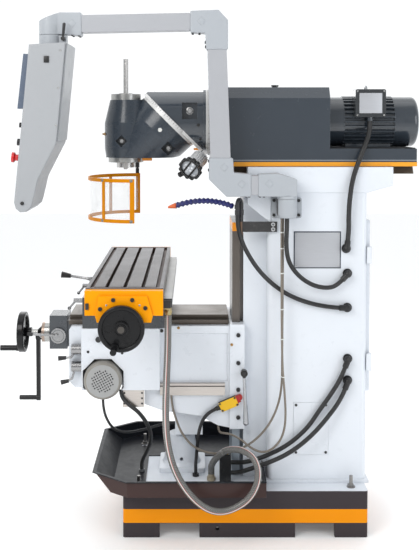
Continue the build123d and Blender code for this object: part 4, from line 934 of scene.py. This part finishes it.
BOLT_DARK = metal("bolt_black", (0.045, 0.045, 0.047), rough=0.36, grain=(400, 400, 400), metallic=0.5, stain=0.1, bumpy=0.05)
BOLT_BRIGHT = metal("bolt_bright", (0.50, 0.50, 0.50), rough=0.26, grain=(500, 500, 500), stain=0.15)
PLATE = metal("plate_alloy", lin(184, 186, 191), rough=0.42, grain=(900, 14, 900), var=0.06, stain=0.06, stain_and_shade_col=lin(140, 140, 138), metallic=0.55, bumpy=0.05)
PLATE_EDGE = plastic("plate_border", lin(52, 60, 72), rough=0.4)
BRASS = metal("brass_fitting", lin(176, 138, 84), rough=0.28, grain=(400, 400, 400), stain=0.2)
NYLON = plastic("nylon_white", lin(226, 227, 224), rough=0.38, wear=0.1)
KNOB = plastic("knob_black", lin(30, 30, 31), rough=0.36)
ORANGE_BIT = paint("orange_fitting", ORANGE, rough=0.3, coat=0.3, wear=0.3, cavity_shade=0.2, edge_r=0.001)
TICK = plastic("tick_black", lin(24, 24, 25), rough=0.5, wear=0.05)
YELLOW = plastic("yellow_fitting", lin(236, 196, 26), rough=0.36)

# bare plate on the column and on the motor's terminal box
k = Kit("column_plate_border", "column", PLATE_EDGE, "black_paint")
k.block((0.220, 0.3296, 1.2739), (1, 0, 0), 0.214, 0.1685, 0.0012, bevel=0.0004)
k.done()
k = Kit("column_plate", "column", PLATE, "scale_alloy")
k.block((0.2211, 0.3296, 1.2739), (1, 0, 0), 0.204, 0.1585, 0.0009, bevel=0.0003)
k.done()
k = Kit("column_plate_rivets", "column", BOLT_BRIGHT, "steel")
for dy in (-0.0955, 0.0955):
    for dz in (-0.0725, 0.0725):
        k.rivet((0.2219, 0.3296 + dy, 1.2739 + dz), (1, 0, 0), 0.0032)
k.done()
t = touch("spindle_motor", (1.0, 0.5785, 1.9395))
if t:
    k = Kit("terminal_plate", "ram", PLATE, "scale_alloy")
    k.block(t[0], (1, 0, 0), 0.104, 0.092, 0.0012, bevel=0.0003)
    k.done()
    k = Kit("terminal_screws", "ram", BOLT_BRIGHT, "steel")
    for dy in (-0.061, 0.061):
        for dz in (-0.055, 0.055):
            q = touch("spindle_motor", (1.0, 0.5785 + dy, 1.9395 + dz))
            if q and q[0].x > t[0].x - 0.004:
                k.socket(q[0], (1, 0, 0), 0.0042, 0.0028)
    k.done()

# pendant arm: cast lozenges and cover screws
k = Kit("arm_lozenges", "arm", ARM_M, "pendant_paint")
for y, z in ((-0.097, 1.654), (-0.0184, 1.5795), (0.1023, 1.5812), (-0.1973, 2.2957), (-0.7648, 2.2855)):
    t = touch("arm_elbows", (1.0, y, z))
    if t:
        k.lathe(t[0], (1, 0, 0), [(-0.0006, 0.019), (0.0008, 0.019), (0.0026, 0.009), (0.0026, 0.0)], 4)
k.done()
ks = Kit("arm_screws", "arm", BOLT_DARK, "black_paint")
for y, n, zs in ((-0.06, (0, 1, 0), (1.650, 1.680)), (-0.30, (0, -1, 0), (1.640, 1.680)), (-0.30, (0, -1, 0), (2.186, 2.206))):
    for z in zs:
        for x in (0.262, 0.318):
            t = touch("arm_elbows", (x, y + 0.12 * n[1] if n[1] > 0 else y, z), (0, -n[1], 0))
            if t and t[1].y * n[1] > 0.9:
                ks.socket(t[0], n, 0.005, 0.004)
for y in (-0.205, -0.235, -0.735, -0.765, 0.0, 0.015, 0.062, 0.08):
    for x in (0.262, 0.318):
        t = touch("arm_elbows", (x, y, 1.45 if y > -0.1 else 2.1), (0, 0, 1))
        if t and t[1].z < -0.9:
            ks.socket(t[0], (0, 0, -1), 0.005, 0.004)
ks.done()

# pendant: latch, cable plug, cover screws, keys
k = Kit("pendant_latches", "pendant", KNOB, "black_plastic")
t = touch("pendant_box", (1.0, -0.860, 2.1217))
if t:
    k.block(t[0], (1, 0, 0), 0.022, 0.028, 0.005, bevel=0.002)
t = touch("pendant_box", (1.0, -0.967, 1.5046))
if t:
    k.lathe(t[0], (1, 0, 0), [(-0.0006, 0.008), (0.004, 0.008), (0.0052, 0.0068), (0.0052, 0.0)], 20)
k.done()
k = Kit("pendant_screws", "pendant", BOLT_BRIGHT, "steel")
for z in (2.16, 2.0, 1.84, 1.68):
    for node_y in (-0.80 - 0.03 * (2.16 - z) / 0.48,):
        t = touch("pendant_box", (1.0, node_y, z))
        if t and t[1].x > 0.9:
            k.socket(t[0], (1, 0, 0), 0.0042, 0.0024)
k.done()
k = Kit("pendant_keys", "pendant", plastic("key_grey", lin(104, 110, 118), rough=0.42), "black_plastic")
for i in range(5):
    for j in range(3):
        x, z = 0.195 + 0.034 * i, 1.884 - 0.032 * j
        t = touch("pendant_box", (x, -1.6, z), (0, 1, 0))
        if t and t[1].y < -0.9:
            k.block(t[0], t[1], 0.024, 0.020, 0.0028, bevel=0.0012)
k.done()

# head and elbow: clamp bolts in their pockets, sight glass, plugs
k = Kit("head_bolts", "milling_head", BOLT_BRIGHT, "steel")
for y, z in ((-0.566, 1.764), (-0.349, 1.731)):
    for sx in (1, -1):
        t = touch("head_casting", (sx * 0.5, y, z), (-sx, 0, 0))
        if t:
            k.hexagon(t[0], (sx, 0, 0), 0.0115, 0.010)
k.done()
k = Kit("head_sight_glass", "milling_head", NYLON, "pendant_paint")
t = touch("head_casting", (1.0, -0.385, 1.817))
if t:
    k.lathe(t[0], t[1], [(-0.001, 0.0095), (0.003, 0.0095), (0.0042, 0.0082), (0.0042, 0.0066), (0.0026, 0.0060), (0.0034, 0.0)], 24)
k.done()
k = Kit("head_plug", "milling_head", ORANGE_BIT, "orange_paint")
t = touch("head_casting", (0.05, -0.449, 1.5), (0, 0, 1))
if t:
    k.block(t[0], (0, 0, -1), 0.020, 0.046, 0.015, sink=0.002, bevel=0.002)
k.done()
# dark sheet on the ram top under the motor: painted shadow between the motor and the ledge
k = Kit("motor_shadow_sheet", "ram", plastic("shadow_sheet_black", lin(26, 29, 33), rough=0.8), "black_plastic")
t = touch("ram_casting", (0.13, 0.42, 1.80), (0, 0, -1))
if t:
    k.block((0.0, 0.5875, t[0][2]), (0, 0, 1), 0.370, 0.385, 0.004, bevel=0.001)
k.done()
k = Kit("feed_handle_sleeve", "table_feed_lever", metal("sleeve_chrome", (0.34, 0.34, 0.345), rough=0.24, grain=(200, 200, 200), var=0.06, stain=0.1, bumpy=0.04), "steel")
a, b = Vector((-0.228, -0.754, 1.066)), Vector((-0.228, -0.847, 1.0803))
k.lathe(a, (b - a).normalized(), [(0.0, 0.0085), (0.010, 0.0085), (0.014, 0.0068), ((b - a).length, 0.0068)], 24)
k.done()
k = Kit("feed_motor_screw", "knee", metal("motor_screw", (0.20, 0.20, 0.20), rough=0.4, grain=(400, 400, 400)), "steel")
k.hexagon((0.285, -0.640, 0.690), (1, 0, 0), 0.0042, 0.003, washer=False)
k.done()
k = Kit("head_nipples", "milling_head", BRASS, "steel")
for x, z in ((0.03, 1.796), (-0.05, 1.90)):
    t = touch("head_casting", (x, -1.2, z), (0, 1, 0))
    if t:
        k.lathe(t[0], t[1], [(-0.001, 0.0075), (0.003, 0.0075), (0.003, 0.0045), (0.009, 0.004), (0.011, 0.0052), (0.013, 0.003), (0.013, 0.0)], 16)
k.done()
k = Kit("elbow_bolts", "head_elbow", BOLT_BRIGHT, "steel")
for sx in (1, -1):
    t = touch("elbow_casting", (sx * 0.5, -0.249, 1.904), (-sx, 0, 0))
    if t:
        k.hexagon(t[0], (sx, 0, 0), 0.0135, 0.011)
k.done()
k = Kit("elbow_plugs", "head_elbow", KNOB, "black_plastic")
for y, z, r in ((-0.21, 1.839, 0.007), (-0.20, 1.775, 0.005)):
    t = touch("elbow_casting", (1.0, y, z))
    if t:
        k.lathe(t[0], t[1], [(-0.001, r), (0.003, r), (0.004, r * 0.85), (0.004, 0.0)], 18)
k.done()

k = Kit("elbow_stop", "head_elbow", ORANGE_BIT, "orange_paint")
t = touch("elbow_casting", (0.045, -0.214, 1.5), (0, 0, 1))
if t:
    k.block(t[0], (0, 0, -1), 0.040, 0.034, 0.009, up=(0, 1, 0), bevel=0.002)
k.done()
k = Kit("reading_head_screws", "knee", BOLT_DARK, "black_paint")
for y in (-0.545, -0.465):
    for z in (0.576, 0.600, 0.624):
        t = touch("cross_scale", (0.6, y, z))
        if t and t[1].x > 0.9:
            k.socket(t[0], (1, 0, 0), 0.0045, 0.002)
k.done()

# graduations on the 45 degree ring and on the ram's ring
k = Kit("tilt_ring_ticks", "head_elbow", TICK, "black_paint")
ta, tb, tn = Kit.axes(TN)
for i in range(72):
    a = math.radians(5 * i)
    d = ta * math.cos(a) + tb * math.sin(a)
    ln = 0.013 if i % 2 == 0 else 0.008
    k.block(TC + TN * (0.0245 - ln / 2) + d * 0.163, d, 0.0011, ln, 0.0004, up=TN, sink=0.0004, bevel=0.0)
k.done()
k = Kit("ram_ring_ticks", "ram", TICK, "black_paint")
for i in range(72):
    a = math.radians(5 * i)
    d = Vector((math.cos(a), 0, math.sin(a)))
    ln = 0.008 if i % 2 == 0 else 0.005
    k.block(Vector((0, -0.1555 - ln / 2, 1.854)) + d * 0.158, d, 0.0011, ln, 0.0004, up=(0, 1, 0), sink=0.0004, bevel=0.0)
k.done()

# lamp: lens with its cross bars, clamp knob
gl = Graph("lamp_lens")
lx = gl.voronoi(58.0)
gl.finish(gl.mix(gl.step(lx, 0.2, 0.5), (0.86, 0.89, 0.93), (0.46, 0.49, 0.53)), gl.remap(lx, 0.0, 0.6, 0.08, 0.2), 0.0,
          gl.bump(lx, 0.5, 0.001), coat=0.8)
k = Kit("lamp_glass", "work_lamp", gl.m, "shield")
k.lathe(LF + LD * 0.1055, LD, [(0.0, 0.0416), (0.0035, 0.0416), (0.0052, 0.030), (0.006, 0.015), (0.0063, 0.0)], 36)
k.done()
k = Kit("lamp_bars", "work_lamp", KNOB, "black_plastic")
along = Vector((0, 0.64, 0.77))
along = (along - LD * along.dot(LD)).normalized()
across = LD.cross(along).normalized()
for s in (-1, 1):
    k.block(LF + LD * 0.1118 + across * s * 0.0165, LD, 0.0085, 0.0752, 0.004, up=along, bevel=0.0008)
knob = Vector((0, -0.80, -0.60))
knob = (knob - LD * knob.dot(LD)).normalized()
k.lathe(LF + LD * 0.109 + knob * 0.0505, knob, [(0.0, 0.008), (0.006, 0.008), (0.008, 0.0125), (0.022, 0.0125), (0.024, 0.0105), (0.024, 0.0)], 16)
k.done()

# guard rivets
k = Kit("guard_rivets", "guard", metal("rivet_grey", (0.26, 0.26, 0.25), rough=0.4, grain=(400, 400, 400), metallic=0.7), "steel")
for z in (1.404, 1.588):
    for sx in (1, -1):
        t = touch("guard_frame", (sx * 0.6, -0.5125, z), (-sx, 0, 0))
        if t:
            k.rivet(t[0], (sx, 0, 0), 0.0075, 0.45)
        t = touch("guard_frame", (sx * 0.187, -1.2, z), (0, 1, 0))
        if t:
            k.rivet(t[0], t[1], 0.0075, 0.45)
k.done()

# table end bracket bolts, dowels and latch
k = Kit("bracket_bolts", "table", BOLT_DARK, "black_paint")
for sx in (1, -1):
    for y, z in ((-0.558, 1.133), (-0.4804, 1.133), (-0.6112, 1.096), (-0.4273, 1.100)):
        t = touch("table_end_brackets", (sx * 1.2, y, z), (-sx, 0, 0))
        if t and abs(t[1].x) > 0.8:
            k.socket(t[0], (sx, 0, 0), 0.0085, 0.006)
t = touch("table_end_brackets", (1.2, -0.6656, 1.104))
if t:
    k.block(t[0], (1, 0, 0), 0.014, 0.026, 0.007, bevel=0.002)
k.done()
k = Kit("bracket_dowels", "table", BOLT_BRIGHT, "steel")
for sx in (1, -1):
    for y, z in ((-0.586, 1.111), (-0.451, 1.111)):
        t = touch("table_end_brackets", (sx * 1.2, y, z), (-sx, 0, 0))
        if t and abs(t[1].x) > 0.8:
            k.rivet(t[0], (sx, 0, 0), 0.0045, 0.4)
k.done()

# knee: gib bolts on the rear flange, plugs and covers on the side
k = Kit("switch_screws", "knee", BOLT_DARK, "black_paint")
for a in (-0.036, 0.036):
    for b in (-0.0165, 0.0165):
        t = touch("limit_switch", Vector(LSO) + LSY * a + LSZ * b + Vector((0.3, 0, 0)), (-1, 0, 0))
        if t and t[1].x > 0.8:
            k.socket(t[0], (1, 0, 0), 0.0046, 0.002)
k.done()
k = Kit("clamp_cap", "knee", BOLT_DARK, "black_paint")
k.lathe(Vector((0.2519, -0.002, 0.715)), Vector((1, 0, 0)), [(0.0, 0.0085), (0.003, 0.0085), (0.0042, 0.0070), (0.0042, 0.0)], 24)
k.done()
k = Kit("knee_bolts", "knee", BOLT_DARK, "black_paint")
for sx in (1, -1):
    for z in (0.881, 0.753, 0.630, 0.502):
        t = touch("knee_casting", (sx * 0.6, -0.027, z), (-sx, 0, 0))
        if t and abs(t[1].x) > 0.8:
            k.socket(t[0], (sx, 0, 0), 0.0095, 0.007)
for y, z, w in ((-0.377, 0.899, 0.016), (-0.708, 0.815, 0.012), (-0.554, 0.810, 0.012)):
    t = touch("knee_casting", (0.6, y, z))
    if t and t[1].x > 0.8:
        k.socket(t[0], (1, 0, 0), w / 2, 0.003)
t = touch("knee_casting", (0.6, -0.660, 0.874))
if t:
    k.lathe(t[0], t[1], [(-0.001, 0.009), (0.006, 0.009), (0.009, 0.013), (0.018, 0.013), (0.0195, 0.0115), (0.0195, 0.0)], 20)
k.done()
k = Kit("knee_nipples", "knee", BRASS, "steel")
for y, z in ((-0.057, 0.837), (-0.300, 0.912), (-0.520, 0.912)):
    t = touch("knee_casting", (0.6, y, z))
    if t and t[1].x > 0.8:
        k.lathe(t[0], t[1], [(-0.001, 0.0065), (0.002, 0.0065), (0.002, 0.004), (0.006, 0.0038), (0.0075, 0.002), (0.0075, 0.0)], 16)
k.done()

# junction box in the tray: lid screws and a yellow cap
k = Kit("junction_knob", "column", BOLT_BRIGHT, "steel")
for x in (0.177, 0.227):
    for y in (-0.103, -0.069):
        t = touch("tray_fittings", (x, y, 0.5), (0, 0, -1))
        if t:
            k.socket(t[0], (0, 0, 1), 0.0036, 0.003)
k.done()
k = Kit("junction_cap", "column", YELLOW, "yellow_plastic")
t = touch("tray_fittings", (0.216, -0.082, 0.5), (0, 0, -1))
if t:
    k.lathe(t[0], (0, 0, 1), [(-0.001, 0.011), (0.010, 0.011), (0.012, 0.0095), (0.012, 0.0)], 20)
k.done()

# nylon ties round the two measuring cables
k = Kit("cable_ties", "column", NYLON, "switchgear")
for z in (1.360, 1.288, 1.176, 1.014, 0.879, 0.708):
    pq = [min(LINES[c], key=lambda p: abs(p.z - z)) for c in ("scale_cable_cross", "scale_cable_table")]
    a, b = Vector((pq[0].x, pq[0].y, z)), Vector((pq[1].x, pq[1].y, z))
    ax = (b - a).normalized()
    sd = Vector((-ax.y, ax.x, 0))
    ring = []
    for c, s0 in ((b, -90), (a, 90)):
        for i in range(9):
            t = math.radians(s0 + 180 * i / 8)
            ring.append((c, ax * math.cos(t) + sd * math.sin(t)))
    loops = [[k.bm.verts.new(c + d * r + Vector((0, 0, h))) for c, d in ring] for r, h in ((0.0056, -0.0025), (0.0068, -0.0025), (0.0068, 0.0025), (0.0056, 0.0025))]
    m = len(ring)
    for p, q in zip(loops, loops[1:] + loops[:1]):
        for i in range(m):
            k.bm.faces.new((p[i], p[(i + 1) % m], q[(i + 1) % m], q[i]))
    k.block((a + b) / 2 + sd * 0.0066, sd, 0.006, 0.0055, 0.004, bevel=0.0008)
k.done()


# ------------------------------------------------------------------ camera, floor and light
cam = bpy.data.cameras.new("camera")
cam.lens = 61.813
cam.sensor_width = 36.0
cam.shift_x = 0.0304
cam.shift_y = -0.2247
cam.clip_end = 100.0
eye = bpy.data.objects.new("camera", cam)
SCN.collection.objects.link(eye)
eye.location = (4.4833, -0.2348, 1.8694)
eye.rotation_euler = (math.radians(88.0), 0.0, math.radians(90.0))
SCN.camera = eye
SCN.view_settings.view_transform = "Standard"

world = bpy.data.worlds.new("studio")
SCN.world = world
world.use_nodes = True
sky = world.node_tree
ray = sky.nodes.new("ShaderNodeTexCoord")
part_xyz = sky.nodes.new("ShaderNodeSeparateXYZ")
sky.links.new(ray.outputs["Generated"], part_xyz.inputs[0])
fade = sky.nodes.new("ShaderNodeMapRange")
fade.interpolation_type = "SMOOTHSTEP"
fade.inputs["From Min"].default_value = -0.15
fade.inputs["From Max"].default_value = 0.55
fade.inputs["To Min"].default_value = 1.08
fade.inputs["To Max"].default_value = 0.55
sky.links.new(part_xyz.outputs[0], fade.inputs["Value"])
back = sky.nodes["Background"]
back.inputs["Color"].default_value = (0.975, 0.99, 1.0, 1.0)
sky.links.new(fade.outputs[0], back.inputs["Strength"])


def area(name, loc, aim, size, power, col=(1, 1, 1)):
    la = bpy.data.lights.new(name, "AREA")
    la.shape = "RECTANGLE"
    la.size, la.size_y = size
    la.energy = power
    la.color = col
    ob = bpy.data.objects.new(name, la)
    SCN.collection.objects.link(ob)
    ob.location = loc
    ob.rotation_euler = (Vector(aim) - Vector(loc)).to_track_quat("-Z", "Y").to_euler()
    return ob


area("key", (3.4, -2.6, 3.6), (0.0, -0.2, 1.1), (2.2, 2.2), 92.0, (1.0, 0.985, 0.96))
area("fill", (3.2, 3.2, 2.4), (0.0, 0.2, 1.0), (2.4, 2.4), 46.0, (0.95, 0.975, 1.0))
area("top", (0.2, -0.2, 4.8), (0.0, -0.1, 1.0), (3.4, 3.4), 16.0)
area("back", (-3.6, -1.0, 3.0), (0.0, 0.0, 1.1), (2.4, 2.4), 26.0)

g = Graph("studio_floor")
tone = g.noise(1.6, 4.0)
FLOOR = g.finish(g.mix(tone, (0.95, 0.955, 0.96), (0.97, 0.972, 0.975)), g.remap(tone, 0.3, 0.7, 0.5, 0.62),
                 **{"Emission Color": (1.0, 1.0, 1.0), "Emission Strength": 0.12})
bm = bmesh.new()
bmesh.ops.create_grid(bm, x_segments=4, y_segments=4, size=14.0)
me = bpy.data.meshes.new("studio_floor")
bm.to_mesh(me)
bm.free()
me.materials.append(FLOOR)
floor = bpy.data.objects.new("studio_floor", me)
SCN.collection.objects.link(floor)
